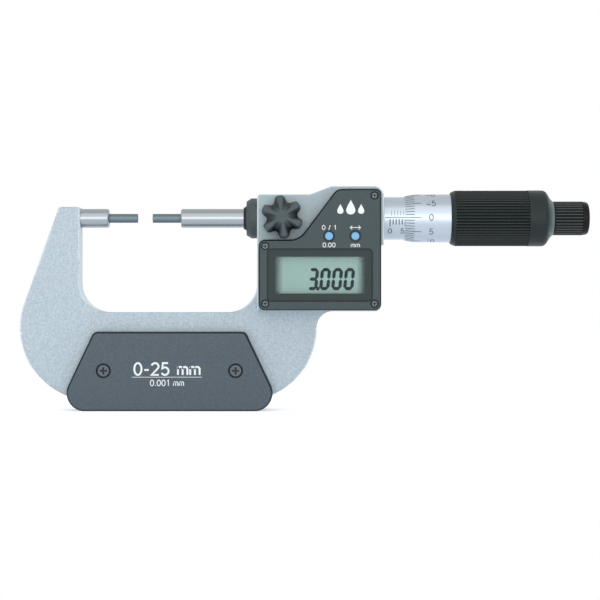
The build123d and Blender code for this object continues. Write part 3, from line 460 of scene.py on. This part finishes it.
def turned_metal(name, colour, roughness, rings, spread, depth):
    """Bare metal with so many rings a metre. The group changes its colour and roughness, and its
    relief is depth metres high."""
    material, tree, shader = finish(name, roughness, metal=1.0)
    turned = use_group(
        tree, turned_rings, Colour=colour, Rings=rings, Spread=spread, Roughness=roughness
    )
    tree.links.new(turned.outputs["Colour"], shader.inputs["Base Color"])
    tree.links.new(turned.outputs["Roughness"], shader.inputs["Roughness"])
    add_bump(tree, shader, turned.outputs["Height"], depth, 0.5)
    return material


turned_rings = rings_group()
ground_steel = turned_metal("ground_steel", shade(154, 160, 164), 0.22, 9000.0, spread=0.06, depth=0.000002)
hard_metal = turned_metal("hard_metal", shade(107, 120, 126), 0.5, 5000.0, spread=0.1, depth=0.000004)
cover(ground_steel, "anvil", "spindle", "barrel", "rotor_key", "ratchet_disc", "pawl_disc")
cover(ground_steel, "ratchet_springs", "lock_screw", "tact_switches")
cover(hard_metal, "anvil_tip", "spindle_tip")


# ---- Guide bush, seal collar and wiper ----
# The spindle runs in a bronze bush. A matt dark plastic collar with a stepped nose stands on the
# block's left face and holds a rubber lip that wipes the spindle.
bronze = turned_metal("bronze", shade(196, 160, 104), 0.35, 4000.0, spread=0.08, depth=0.000004)
cover(bronze, "spindle_guide_bush", "thrust_ring", "adjusting_nut", "clamp_shoe", "battery_contact")

collar_plastic = mottled_finish(
    "collar_plastic", shade(66, 76, 77), 0.5, 1800.0, 0.1, specular=0.35, relief=0.00003, strength=0.4
)
cover(collar_plastic, "seal_collar")
black_rubber = mottled_finish(
    "black_rubber", shade(34, 37, 38), 0.7, 1500.0, 0.15, specular=0.3, relief=0.00002, strength=0.3
)
cover(black_rubber, "wiper_seal", "housing_gasket", "zebra_strips", "cap_seal")


# ---- Encoder ----
# Two glass-fibre discs with copper tracks face each other inside the block; an amber film
# ribbon runs from the fixed one to the circuit board.
encoder_disc = mottled_finish("encoder_disc", shade(190, 168, 110), 0.5, 1200.0, 0.12, specular=0.4)
cover(encoder_disc, "encoder_rotor", "encoder_stator")
ribbon_film = mottled_finish("ribbon_film", shade(196, 132, 58), 0.3, 900.0, 0.08)
cover(ribbon_film, "ribbon_cable")


# ---- Graduated sleeve ----
# A satin-chromed tube slipped over the barrel. The index line and the marks are engraved and
# filled with dark ink: whole millimetres below the line, halves above, figures every fifth.
satin_chrome = turned_metal("satin_chrome", shade(178, 187, 197), 0.36, 7000.0, spread=0.03, depth=0.000002)
cover(satin_chrome, "sleeve", "thimble")
engraving_ink = mottled_finish("engraving_ink", shade(52, 58, 66), 0.6, 3000.0, 0.15, specular=0.3)


def round_surface(solid, start, angle, stations, radii):
    """Wraps a flat solid round the measuring line: u runs along +X from start, v is arc length
    measured at the nearest radius, from an angle above the front, and height is radial."""
    points, faces = solid
    x = start + points[:, 0]
    surface = np.interp(x, stations, radii)
    turn = math.radians(angle) + points[:, 1] / max(radii)
    reach = surface + points[:, 2]
    return np.stack([x, -reach * np.cos(turn), reach * np.sin(turn)], 1), faces


def marks_along(places, from_v, to_v, width, low, high):
    """Short straight marks across X at these places, each a thin bar with five stations."""
    heights = np.linspace(from_v, to_v, 5)
    return [
        bar(np.column_stack([np.full(5, place), heights]), width, low, high) for place in places
    ]


sleeve_low, sleeve_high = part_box("sleeve")
sleeve_r = sleeve_high.z
zero_mark = sleeve_low.x + 0.00195
ink_layer = (-0.00004, 0.00001)
whole_width, half_width = 0.0003, 0.00012
index_path = np.array([[sleeve_low.x + 0.0002, 0.0], [sleeve_high.x - 0.0003, 0.0]])
whole = zero_mark + 0.001 * np.array([k for k in range(26) if k % 5])
fifths = zero_mark + 0.001 * np.arange(0, 26, 5)
halves = zero_mark + 0.0005 + 0.001 * np.arange(25)
flat_marks = [
    bar(index_path, 0.0002, *ink_layer),
    *marks_along(whole, -0.00057, -0.0024, whole_width, *ink_layer),
    *marks_along(fifths, -0.00057, -0.0031, whole_width, *ink_layer),
    *marks_along(halves, 0.00057, 0.0023, half_width, *ink_layer),
]
sleeve_tube = ([sleeve_low.x, sleeve_high.x], [sleeve_r, sleeve_r])
sleeve_marks = [round_surface(joined(flat_marks), 0.0, 0.0, *sleeve_tube)]
for reading in range(0, 26, 5):
    shift = 0.0 if reading == 0 else -0.00095 if reading == 5 else -0.0013
    figure = lettering(str(reading), 0.0019, 0.00026, *ink_layer)
    sleeve_marks.append(
        round_surface(figure, zero_mark + 0.001 * reading + shift, -39.0, *sleeve_tube)
    )
new_piece("sleeve_marks", joined(sleeve_marks), engraving_ink, "sleeve")


# ---- Thimble ----
# The satin-chromed tube that the fingers turn. Its bevelled edge carries fifty inked marks, one
# for each hundredth of a millimetre, and figures every fifth.
thimble_low, thimble_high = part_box("thimble")
thimble_r = thimble_high.z
lip_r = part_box("sleeve")[1].z + 0.0002
bevel = 0.0036
bevel_end = thimble_low.x + bevel
thimble_tube = ([thimble_low.x, bevel_end, thimble_high.x], [lip_r, thimble_r, thimble_r])
thimble_ink = (-0.00004, 0.00002)
divisions = 50
division_angle = 360 / divisions
thimble_marks = []
for division in range(divisions):
    reach = 0.0053 if division % 5 == 0 else 0.0031
    stops = np.array([0.00012, bevel / 2, bevel, bevel + 0.0001, reach])
    stops = stops[stops <= reach]
    run = np.column_stack([stops, np.zeros(len(stops))])
    mark = bar(run, 0.0002, *thimble_ink)
    thimble_marks.append(round_surface(mark, thimble_low.x, -division_angle * division, *thimble_tube))
for reading in range(0, divisions, 5):
    figure = lettering(str(reading), 0.0021, 0.00024, *thimble_ink)
    thimble_marks.append(
        round_surface(figure, thimble_low.x + 0.0086, -division_angle * reading, *thimble_tube)
    )
new_piece("thimble_marks", joined(thimble_marks), engraving_ink, "spindle")


# ---- Thimble grip ----
# A moulded black sleeve pushed on the thimble: a bevelled ring, fifty-six ribs cut straight
# along it, a plain band, and a curved shoulder that runs down to the ratchet.
def ribbed_turning(profile, share, depth, count, sharpness, fineness=12):
    """Grid of a ribbed turned piece. The profile gives x and radius. Round each of its rings the
    radius drops by depth times that ring's share times one less a crest, which is a raised
    cosine to the power of the sharpness: the higher the power, the narrower the ribs."""
    turn = np.linspace(0, 2 * np.pi, count * fineness, endpoint=False)
    crest = (0.5 + 0.5 * np.cos(count * turn)) ** sharpness
    radius = profile[:, 1:2] - depth * share[:, None] * (1 - crest[None, :])
    along = np.broadcast_to(profile[:, 0:1], radius.shape)
    return np.stack([along, -radius * np.cos(turn), radius * np.sin(turn)], 2)


def grid_solid(grid, gather=False):
    """Faces over a grid that closes round its second axis. The first and last rows meet, or,
    when gathered, each shrinks to one point."""
    rows, columns = grid.shape[:2]
    index = np.arange(rows * columns).reshape(rows, columns)
    if not gather:
        index = np.concatenate([index, index[:1]])
    ahead = np.roll(index, -1, 1)
    quads = np.stack([index[:-1], ahead[:-1], ahead[1:], index[1:]], 2).reshape(-1, 4)
    points = grid.reshape(-1, 3)
    if not gather:
        return points, quads.tolist()
    inner = quads[columns:-columns]
    poles = np.stack([grid[0].mean(0), grid[-1].mean(0)])
    first = np.stack([np.full(columns, 0), ahead[1] - columns + 1, index[1] - columns + 1], 1)
    last_row = index[-2] - columns + 1
    last_pole = (rows - 2) * columns + 1
    last = np.stack([last_row, np.roll(last_row, -1), np.full(columns, last_pole)], 1)
    points = np.concatenate([poles[:1], grid[1:-1].reshape(-1, 3), poles[1:]])
    return points, [*first.tolist(), *(inner - columns + 1).tolist(), *last.tolist()]


def rounded_profile(corners, steps=6):
    """Profile through corners, given as x, radius and rounding. Each is rounded by a curve
    between the points that far away on both sides: the quadratic curve with the corner as its
    middle control."""
    corners = np.asarray(corners, float)
    places = corners[:, :2]
    before = np.roll(places, 1, 0)
    after = np.roll(places, -1, 0)
    rows = []
    for corner, previous, following, rounding in zip(places, before, after, corners[:, 2]):
        if rounding == 0:
            rows.append(corner[None])
            continue
        start = corner + (previous - corner) / np.linalg.norm(previous - corner) * rounding
        end = corner + (following - corner) / np.linalg.norm(following - corner) * rounding
        t = np.linspace(0, 1, steps)[:, None]
        rows.append((1 - t) ** 2 * start + 2 * t * (1 - t) * corner + t**2 * end)
    return np.concatenate(rows)


def ribbed_rows(profile, start, end, floor_r):
    """1 for each of the profile's rows between two stations and beyond a radius, else 0."""
    x, radius = profile.T
    return ((x > start) & (x < end) & (radius > floor_r)).astype(float)


def crest_group():
    """Painted rib light and shade: the low colour, painted shade, inside one distance from the X
    axis and the high colour, a painted highlight, outside another, with an even change between them."""
    group, given, result = new_group(
        "painted_rib_light",
        {"Low": "colour", "High": "colour", "Inside": "value", "Outside": "value"},
        {"Colour": "colour"},
    )
    place = add_node(group, "ShaderNodeTexCoord").outputs["Object"]
    across = add_node(group, "ShaderNodeVectorMath", {"operation": "MULTIPLY"}, i0=place, i1=(0, 1, 1))
    length = add_node(group, "ShaderNodeVectorMath", {"operation": "LENGTH"}, i0=across.outputs[0])
    share = spread_node(
        group, length.outputs["Value"], given.outputs["Inside"], given.outputs["Outside"], 0.0, 1.0
    )
    mixed = mix_node(group, share, given.outputs["Low"], given.outputs["High"])
    group.links.new(mixed, result.inputs["Colour"])
    return group


def ribbed_black(name, roughness, crest_r, crest, shaded_trough, plain, foot, ribs_from, ribs_to, foot_from):
    """Moulded black with a fine mottle: a painted highlight on the crests and painted shade in the
    troughs, by distance from the axis between two stations along X, and a plain colour beyond
    them, which turns to the foot's colour within 2.2 mm past a third station."""
    material, tree, shader = finish(name, roughness, specular=0.15)
    place = add_node(tree, "ShaderNodeTexCoord").outputs["Object"]
    along = add_node(tree, "ShaderNodeSeparateXYZ", None, Vector=place).outputs["X"]
    past_start = spread_node(tree, along, ribs_from - 0.00005, ribs_from + 0.00005, 0.0, 1.0)
    before_end = spread_node(tree, along, ribs_to - 0.00005, ribs_to + 0.00005, 1.0, 0.0)
    on_ribs = math_node(tree, "MULTIPLY", past_start, before_end)
    ribs = use_group(
        tree, painted_rib_light, Low=shaded_trough, High=crest, Inside=crest_r - 0.0003, Outside=crest_r - 0.00002
    )
    on_foot_highlight = spread_node(tree, along, foot_from, foot_from + 0.0022, 0.0, 1.0)
    beyond = mix_node(tree, on_foot_highlight, plain, foot)
    toned = mix_node(tree, on_ribs, beyond, ribs.outputs["Colour"])
    grained = use_group(tree, fine_mottle, Colour=toned, Cells=1600.0, Spread=0.15)
    tree.links.new(grained.outputs["Colour"], shader.inputs["Base Color"])
    add_bump(tree, shader, grained.outputs["Height"], 0.00002, 0.5)
    return material


painted_rib_light = crest_group()
grip_low, grip_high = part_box("thimble_grip")
grip_r = grip_high.z
ratchet_low, ratchet_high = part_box("ratchet_knob")
ratchet_r = ratchet_high.z
hub_end = thimble_high.x
rib_start = grip_low.x + 0.0016
band_start = hub_end - 0.0058
rib_step = 0.0001
ring_r = grip_r - 0.00015
crest_r = grip_r - 0.00008
mouth_r = ratchet_r - 0.0011
grip_profile = rounded_profile(
    [
        (grip_low.x, thimble_r, 0),
        (grip_low.x, grip_r - 0.0008, 0.0003),
        (grip_low.x + 0.0013, ring_r, 0.0004),
        (rib_start, ring_r, 0),
        (rib_start + rib_step, crest_r, 0),
        (band_start - rib_step, crest_r, 0),
        (band_start, grip_r, 0),
        (hub_end - 0.0001, grip_r, 0.0012),
        (hub_end + 0.0019, ratchet_r + 0.0004, 0.0009),
        (grip_high.x, ratchet_r, 0.0001),
        (grip_high.x, mouth_r, 0),
        (hub_end, mouth_r, 0),
        (hub_end, thimble_r, 0),
    ]
)
grip_ribbed = ribbed_rows(
    grip_profile, rib_start + rib_step / 2, band_start - rib_step / 2, thimble_r + 0.0005
)
grip_grid = ribbed_turning(grip_profile, grip_ribbed, depth=0.00045, count=56, sharpness=1.3, fineness=10)
# Painted light on the grip: light crests and dark troughs on the ribs.
grip_black = ribbed_black(
    "grip_black",
    roughness=0.42,
    crest_r=crest_r,
    crest=shade(54, 63, 62),
    shaded_trough=shade(9, 13, 14),
    plain=shade(38, 46, 46),
    # The foot's colour is a painted reflection on the shoulder's curved foot.
    foot=shade(112, 125, 125),
    ribs_from=rib_start,
    ribs_to=band_start,
    foot_from=hub_end,
)
grip = new_piece("ribbed_grip", grid_solid(grip_grid), grip_black, "spindle")
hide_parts("thimble_grip")


# ---- Ratchet knob ----
# A small black knob with thirty-two fine ribs and a plain rounded end. It slips on the toothed
# discs inside above a set force; a slotted screw sunk in its end holds it.
rib_from = ratchet_low.x + 0.0005
rib_to = ratchet_high.x - 0.0023
crest_r = ratchet_r - 0.0001
hollow_end, hollow_r = ratchet_low.x + 0.0054, ratchet_r - 0.0014
screw_seat, screw_seat_r, screw_hole_r = ratchet_high.x - 0.0020, 0.0033, 0.00155
ratchet_profile = rounded_profile(
    [
        (ratchet_low.x, hollow_r, 0),
        (ratchet_low.x, crest_r, 0.0002),
        (rib_from - rib_step, crest_r, 0),
        (rib_from, crest_r, 0),
        (rib_to, crest_r, 0),
        (rib_to + rib_step, crest_r, 0),
        (ratchet_high.x, ratchet_r - 0.0004, 0.0011),
        (ratchet_high.x, screw_seat_r, 0.0002),
        (screw_seat, screw_seat_r, 0),
        (screw_seat, screw_hole_r, 0),
        (hollow_end, screw_hole_r, 0),
        (hollow_end, hollow_r, 0),
    ]
)
ratchet_ribbed = ribbed_rows(
    ratchet_profile, rib_from - rib_step / 2, rib_to + rib_step / 2, ratchet_r - 0.0005
)
ratchet_grid = ribbed_turning(ratchet_profile, ratchet_ribbed, depth=0.0004, count=32, sharpness=1.4)
ratchet_plain = shade(9, 12, 12)
# Painted light on the ratchet: light crests and dark troughs on the ribs.
ratchet_black = ribbed_black(
    "ratchet_black",
    roughness=0.35,
    crest_r=crest_r,
    crest=shade(72, 78, 78),
    shaded_trough=shade(7, 10, 10),
    plain=ratchet_plain,
    foot=ratchet_plain,
    ribs_from=rib_from,
    ribs_to=rib_to,
    foot_from=ratchet_high.x,
)
ratchet = new_piece("ratchet_cap", grid_solid(ratchet_grid), ratchet_black, "ratchet")
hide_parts("ratchet_knob")


# ---- Spindle lock ----
# A six-lobed star knob in matt dark plastic, moulded on its screw. Finger scoops start narrow on
# the face and widen and deepen towards the back.
def smooth_step(value, low, high):
    """0 below low, 1 above high, and between them 3 t squared less 2 t cubed."""
    t = np.clip((value - low) / (high - low), 0, 1)
    return t * t * (3 - 2 * t)


def star_grid(centre_x, face_y, depth):
    """Grid of the knob. Off is the angle from the nearest lobe. The rim's radius goes from the
    lobe's to the valley's as off goes from 8 to 27 degrees. The face sinks by the rim's round
    plus, within the scoop, a slope that steepens outwards from where it starts. The rows go on
    down the rim's wall, over the foot and into the bore for the screw."""
    lobe_r, valley_r, scoop_start, rim_round = 0.0069, 0.0051, 0.0018, 0.001
    bore_r, bore_end, foot_edge = 0.0029, depth - 0.004, 0.0003
    first_lobe = math.radians(37)
    half_lobe = np.pi / 6
    turn = np.linspace(0, 2 * np.pi, 360, endpoint=False)
    off = np.degrees(np.abs((turn - first_lobe + half_lobe) % (2 * half_lobe) - half_lobe))
    rim = lobe_r - (lobe_r - valley_r) * smooth_step(off, 8, 27)
    reach = np.sin(np.linspace(0, np.pi / 2, 36))[:, None] * rim
    past_flat = np.clip(reach - (rim - rim_round), 0, rim_round)
    sunk = rim_round - np.sqrt(rim_round**2 - past_flat**2)
    slope = np.clip((reach - scoop_start) / (valley_r - scoop_start), 0, None) ** 1.2
    sunk = sunk + 0.0034 * slope * smooth_step(off, 7, 21)
    down = np.linspace(0, 1, 8)[1:, None]
    wall = sunk[-1:] + (depth - foot_edge - sunk[-1:]) * down
    foot = rim * (1 - foot_edge / valley_r)
    bore = np.full(rim.shape, bore_r)
    reach = np.vstack([reach, np.tile(rim, (len(down), 1)), foot, bore, bore, bore * 0])
    ends = np.tile([[depth], [depth], [bore_end], [bore_end]], len(turn))
    sunk = np.vstack([sunk, wall, ends])
    x = centre_x + reach * np.cos(turn)
    return np.stack([x, face_y + sunk, reach * np.sin(turn)], 2)


knob_low, knob_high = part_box("lock_knob")
screw_low, screw_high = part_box("lock_screw")
knob_x = (screw_low.x + screw_high.x) / 2
star = star_grid(knob_x, knob_low.y, knob_high.y - knob_low.y)
knob_plastic, tree, shader = finish("knob_plastic", 0.5, specular=0.25)
place = add_node(tree, "ShaderNodeTexCoord").outputs["Object"]
depth = add_node(tree, "ShaderNodeSeparateXYZ", None, Vector=place).outputs["Y"]
# Painted shade: the knob darkens with depth into the scoops and down the lobes' walls.
sunk = spread_node(tree, depth, knob_low.y + 0.0003, knob_low.y + 0.0031, 0.0, 1.0)
toned = mix_node(tree, sunk, shade(72, 83, 86), shade(14, 19, 19))
grained = use_group(tree, fine_mottle, Colour=toned, Cells=1800.0, Spread=0.12)
tree.links.new(grained.outputs["Colour"], shader.inputs["Base Color"])
add_bump(tree, shader, grained.outputs["Height"], 0.00003, 0.5)
knob = new_piece("star_knob", grid_solid(star, gather=True), knob_plastic, "lock_knob", 40)
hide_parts("lock_knob")


# ---- Display housing ----
# A moulded shell in dark grey plastic, screwed through a gasket to the block's front. Its edges
# and the window's seat carry painted shade, darkest on upper edges.
housing_plastic = mottled_finish(
    "housing_plastic",
    shade(67, 78, 81),
    roughness=0.55,
    cells=2000.0,
    spread=0.12,
    specular=0.2,
    edge=shade(14, 22, 25),
    below=0.35,
    relief=0.00003,
)
cover(housing_plastic, "display_housing")
corner_screw_y = -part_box("housing_screws")[0].y
# The corner screws' recesses carry painted shade as well.
corner_steel = recessed_steel(
    "corner_screw_steel", corner_screw_y, recess=0.0004, head=shade(98, 105, 108), recess_shade=shade(28, 34, 36)
)
cover(corner_steel, "housing_screws")

housing_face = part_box("display_housing")[0].y
window_low, window_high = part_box("display_window")
window_x = (window_low.x + window_high.x) / 2
window_z = (window_low.z + window_high.z) / 2


def round_rectangle(width, height, corner, count=8):
    """Points round a rectangle with rounded corners, centred on the origin."""
    parts = []
    for side, rise, start in ((1, 1, 0), (-1, 1, 90), (-1, -1, 180), (1, -1, 270)):
        centre = (side * (width / 2 - corner), rise * (height / 2 - corner))
        parts.append(arc(centre, (corner, corner), start, start + 90, count))
    return np.concatenate(parts)


bead_path = round_rectangle(window_high.x - window_low.x, window_high.z - window_low.z, 0.0013)
bead = on_front(bar(bead_path, 0.0005, -0.0002, 0.00003, True), window_x, housing_face, window_z)
new_piece("window_bead", bead, black_rubber, "frame", 60)


def drop(width, height, count=40):
    """Teardrop outline: across is sin t times sin(t / 2) to the power 1.6, up is cos t."""
    t = np.linspace(0, 2 * np.pi, count, endpoint=False)
    return np.stack([width / 1.3 * np.sin(t) * np.sin(t / 2) ** 1.6, height / 2 * np.cos(t)], 1)


button_boxes = [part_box(name) for name in ("power_button", "mode_button")]
button_xs = [(low.x + high.x) / 2 for low, high in button_boxes]
button_z = (button_boxes[0][0].z + button_boxes[0][1].z) / 2
sign_x = sum(button_xs) / 2 + 0.0028
sign_z = button_z + 0.0095
signs = [
    on_front(slab(drop(width, height), *print_layer), sign_x + aside, housing_face, sign_z - down)
    for width, height, aside, down in (
        (0.0028, 0.0048, 0.0, 0.0),
        (0.0019, 0.0032, -0.0034, 0.0006),
        (0.0019, 0.0032, 0.0034, 0.0006),
    )
]
for text, place_x, place_z in (
    ("0 / 1", button_xs[0], button_z + 0.0028),
    ("0.00", button_xs[0], button_z - 0.0029),
    (["<->"], button_xs[1], button_z + 0.0028),
    ("mm", button_xs[1], button_z - 0.0029),
):
    sign = lettering(text, 0.0014, 0.00021, *print_layer, gap=0.24, stretch=1.15)
    signs.append(on_front(sign, place_x, housing_face, place_z))
new_piece("housing_print", joined(signs), white_print, "frame")


# ---- Window and display ----
# A clear pane with a dark border printed on it is let into the housing, over a dark surround and
# a reflective display glass with seven-part figures, which stands in a white holder.
view_width, view_height = 0.0291, 0.0120
border_blur = 0.00005
clear_pane, tree, shader = finish("clear_pane", 0.3, specular=0.1)
smeared = use_group(tree, fine_mottle, Colour=shade(190, 200, 198), Cells=60.0, Spread=0.05)
printed = use_group(tree, fine_mottle, Colour=shade(52, 64, 63), Cells=1800.0, Spread=0.05)
haze = spread_node(tree, smeared.outputs["Height"], 0.3, 0.7, 0.015, 0.03)
place = add_node(tree, "ShaderNodeTexCoord").outputs["Object"]
axes = add_node(tree, "ShaderNodeSeparateXYZ", None, Vector=place)
off_x = math_node(tree, "ABSOLUTE", math_node(tree, "SUBTRACT", axes.outputs["X"], window_x))
off_z = math_node(tree, "ABSOLUTE", math_node(tree, "SUBTRACT", axes.outputs["Z"], window_z))
beside = spread_node(tree, off_x, view_width / 2 - border_blur, view_width / 2 + border_blur, 0.0, 1.0)
above = spread_node(tree, off_z, view_height / 2 - border_blur, view_height / 2 + border_blur, 0.0, 1.0)
on_border = math_node(tree, "MAXIMUM", beside, above)
tree.links.new(
    mix_node(tree, on_border, smeared.outputs["Colour"], printed.outputs["Colour"]),
    shader.inputs["Base Color"],
)
tree.links.new(math_node(tree, "MAXIMUM", on_border, haze), shader.inputs["Alpha"])
cover(clear_pane, "display_window")

surround = mottled_finish("window_surround", shade(52, 62, 62), 0.5, 1800.0, 0.04, specular=0.2)
cover(surround, "display_mask")

display_glass, tree, shader = finish("display_glass", 0.4, specular=0.2)
cloudy = use_group(tree, fine_mottle, Colour=shade(149, 179, 172), Cells=700.0, Spread=0.02)
place = add_node(tree, "ShaderNodeTexCoord").outputs["Object"]
axes = add_node(tree, "ShaderNodeSeparateXYZ", None, Vector=place)
off_middle = math_node(tree, "ABSOLUTE", math_node(tree, "SUBTRACT", axes.outputs["X"], window_x))
# Painted shadow: the display glass darkens towards its left and right ends, where the surround shades it.
fade_from, fade_to = 0.0120, 0.0146
border = spread_node(tree, off_middle, fade_from, fade_to, 1.0, 0.2)
shadow_dimmed = add_node(
    tree, "ShaderNodeVectorMath", {"operation": "SCALE"}, i0=cloudy.outputs["Colour"], Scale=border
)
tree.links.new(shadow_dimmed.outputs[0], shader.inputs["Base Color"])
cover(display_glass, "lcd_panel")

segment_ink = mottled_finish("segment_ink", shade(22, 40, 46), 0.5, 2500.0, 0.06, specular=0.1)


def lying_part(length, thickness):
    """Level display part centred on the origin: a bar with pointed ends."""
    half, rise = length / 2, thickness / 2
    flat = half - rise
    return np.array([[-half, 0], [-flat, rise], [flat, rise], [half, 0], [flat, -rise], [-flat, -rise]])


def figure_parts(lit, width, height, thickness):
    """Seven-part figure centred on the origin: the lit parts, a to g, as flat outlines."""
    across = (width - thickness) / 2
    up = (height - thickness) / 4
    level = lying_part(width - thickness * 0.9, thickness)
    upright = lying_part(2 * up - thickness * 0.1, thickness)[:, ::-1]
    seats = {
        "a": (level, 0, 2 * up),
        "b": (upright, across, up),
        "c": (upright, across, -up),
        "d": (level, 0, -2 * up),
        "e": (upright, -across, -up),
        "f": (upright, -across, up),
        "g": (level, 0, 0),
    }
    return [outline + [x, z] for outline, x, z in (seats[letter] for letter in lit)]


glass_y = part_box("lcd_panel")[0].y
figure_height, figure_width, figure_stroke, figure_pitch = 0.0073, 0.0034, 0.0011, 0.00394
slant = math.tan(math.radians(5.4))
row_x = window_x + 0.0037
row_z = window_z - 0.0013
outlines = []
for column, lit in enumerate(("abgcd", "abcdef", "abcdef", "abcdef")):
    middle = (column - 1.5) * figure_pitch
    outlines += [
        outline + [middle, 0] for outline in figure_parts(lit, figure_width, figure_height, figure_stroke)
    ]
point = figure_stroke / 2
outlines.append(
    np.array([[-point, -point], [point, -point], [point, point], [-point, point]])
    + [-figure_pitch - 0.0001, -figure_height / 2 + point]
)
digits = []
for outline in outlines:
    slanted = outline + np.column_stack([outline[:, 1] * slant, np.zeros(len(outline))])
    digits.append(on_front(slab(slanted, -0.00001, 0.00003), row_x, glass_y, row_z))
new_piece("display_figures", joined(digits), segment_ink, "frame")

white_plastic = mottled_finish("white_plastic", shade(222, 222, 216), 0.5, 1200.0, 0.04)
cover(white_plastic, "lcd_holder", "battery_cup")


# ---- Circuit board ----
# Green laminate behind the display, with three black chips.
board_green = mottled_finish("board_green", shade(52, 112, 72), 0.35, 600.0, 0.15)
cover(board_green, "circuit_board")
black_plastic = mottled_finish(
    "black_plastic", shade(30, 33, 35), 0.5, 1700.0, 0.15, specular=0.35, relief=0.00003, strength=0.4
)
cover(black_plastic, "board_chips", "button_rings", "battery_cap")


# ---- Buttons ----
# Two light blue caps in black rings, moulded in a slightly glossy plastic.
# Painted shade on the caps' edges.
button_blue = mottled_finish(
    "button_blue", shade(120, 180, 218), 0.4, 1500.0, 0.04, specular=0.3, edge=shade(98, 150, 190)
)
cover(button_blue, "power_button", "mode_button")


# ---- Battery ----
# A nickel-plated button cell in its cup behind the block, under the coin-slotted cap.
cell_nickel = turned_metal("cell_nickel", shade(196, 196, 194), 0.3, 2000.0, spread=0.04, depth=0.000002)
cover(cell_nickel, "battery")


# ---- Floor, light and camera ----
# A sheet of white card lies on the table, in white surroundings. The metal mirrors two lamps in
# front, a low bright one and a broader, weaker one, and two soft lamps light everything else.
card = bpy.data.meshes.new("white_card")
left, right, near, far = -0.5, 0.6, -0.3, 0.35
card_corners = [(left, near), (right, near), (right, far), (left, far)]
card.from_pydata([(x, y, cad_box[0].z) for x, y in card_corners], [], [(0, 1, 2, 3)])
floor = bpy.data.objects.new("white_card", card)
bpy.context.scene.collection.objects.link(floor)
card_white = bpy.data.materials.new("card_white")
card_white.use_nodes = True
tree = card_white.node_tree
tree.nodes.clear()


def by_ray(tree, seen, other):
    """One number on camera, glossy and transmission rays, and a second one on all others."""
    rays = add_node(tree, "ShaderNodeLightPath").outputs
    direct = math_node(tree, "MAXIMUM", rays["Is Camera Ray"], rays["Is Transmission Ray"])
    direct = math_node(tree, "MAXIMUM", direct, rays["Is Glossy Ray"])
    return spread_node(tree, direct, 0.0, 1.0, other, seen)


matt = add_node(tree, "ShaderNodeBsdfDiffuse", None, Color=(0.84, 0.9, 0.96, 1.0))
lift = by_ray(tree, 0.45, 0.12)
glow = add_node(tree, "ShaderNodeEmission", None, Color=(1.0, 1.0, 1.0, 1.0), Strength=lift)
both = add_node(tree, "ShaderNodeAddShader", None, i0=matt.outputs[0], i1=glow.outputs[0])
add_node(tree, "ShaderNodeOutputMaterial", None, Surface=both.outputs[0])
card.materials.append(card_white)

world = bpy.data.worlds.new("white_surroundings")
bpy.context.scene.world = world
world.use_nodes = True
tree = world.node_tree
tree.nodes.clear()
level = by_ray(tree, 1.0, 0.75)
sky = add_node(tree, "ShaderNodeBackground", None, Color=(1.0, 1.0, 1.0, 1.0), Strength=level)
add_node(tree, "ShaderNodeOutputWorld", None, Surface=sky.outputs[0])


def soft_light(name, place, aim, width, height, radiance, mirrored):
    """Rectangular lamp of an even radiance at a place, aimed at a point. The camera doesn't see
    it. A mirrored one shows only in gloss, any other only lights matt surfaces."""
    lamp = bpy.data.lights.new(name, "AREA")
    lamp.shape = "RECTANGLE"
    lamp.size, lamp.size_y = width, height
    lamp.energy = radiance * math.pi * width * height
    made = bpy.data.objects.new(name, lamp)
    bpy.context.scene.collection.objects.link(made)
    across, back, up = np.array(aim) - np.array(place)
    made.location = place
    tilt = math.atan2(math.hypot(across, back), -up)
    made.rotation_euler = (tilt, 0.0, math.atan2(back, across) - math.pi / 2)
    made.visible_camera = False
    made.visible_transmission = False
    made.visible_diffuse = not mirrored
    made.visible_glossy = mirrored


middle = (cad_box[0].x + cad_box[1].x) / 2
soft_light("low_band", (middle, -0.85, 0.0), (middle, 0.0, 0.0), 1.6, 0.44, radiance=1.22, mirrored=True)
soft_light("broad_band", (middle, -0.9, 0.5), (middle, 0.0, 0.1), 1.8, 1.3, radiance=0.62, mirrored=True)
soft_light(
    "front_fill", (middle + 0.1, -0.9, 0.1), (middle, 0.0, -0.04), 1.1, 0.6, radiance=0.98, mirrored=False
)
soft_light("top_fill", (middle, -0.2, 0.7), (middle, 0.0, 0.0), 1.0, 0.5, radiance=0.8, mirrored=False)

camera_lens = bpy.data.cameras.new("camera")
camera_lens.sensor_width, camera_lens.lens = 36.0, 107.6
camera_lens.clip_start, camera_lens.clip_end = 0.01, 20.0
camera = bpy.data.objects.new("camera", camera_lens)
bpy.context.scene.collection.objects.link(camera)
camera.location = (0.0542, -0.6, -0.0273)
camera.rotation_euler = (math.pi / 2, 0.0, 0.0)
bpy.context.scene.camera = camera
bpy.context.scene.view_settings.view_transform = "Standard"
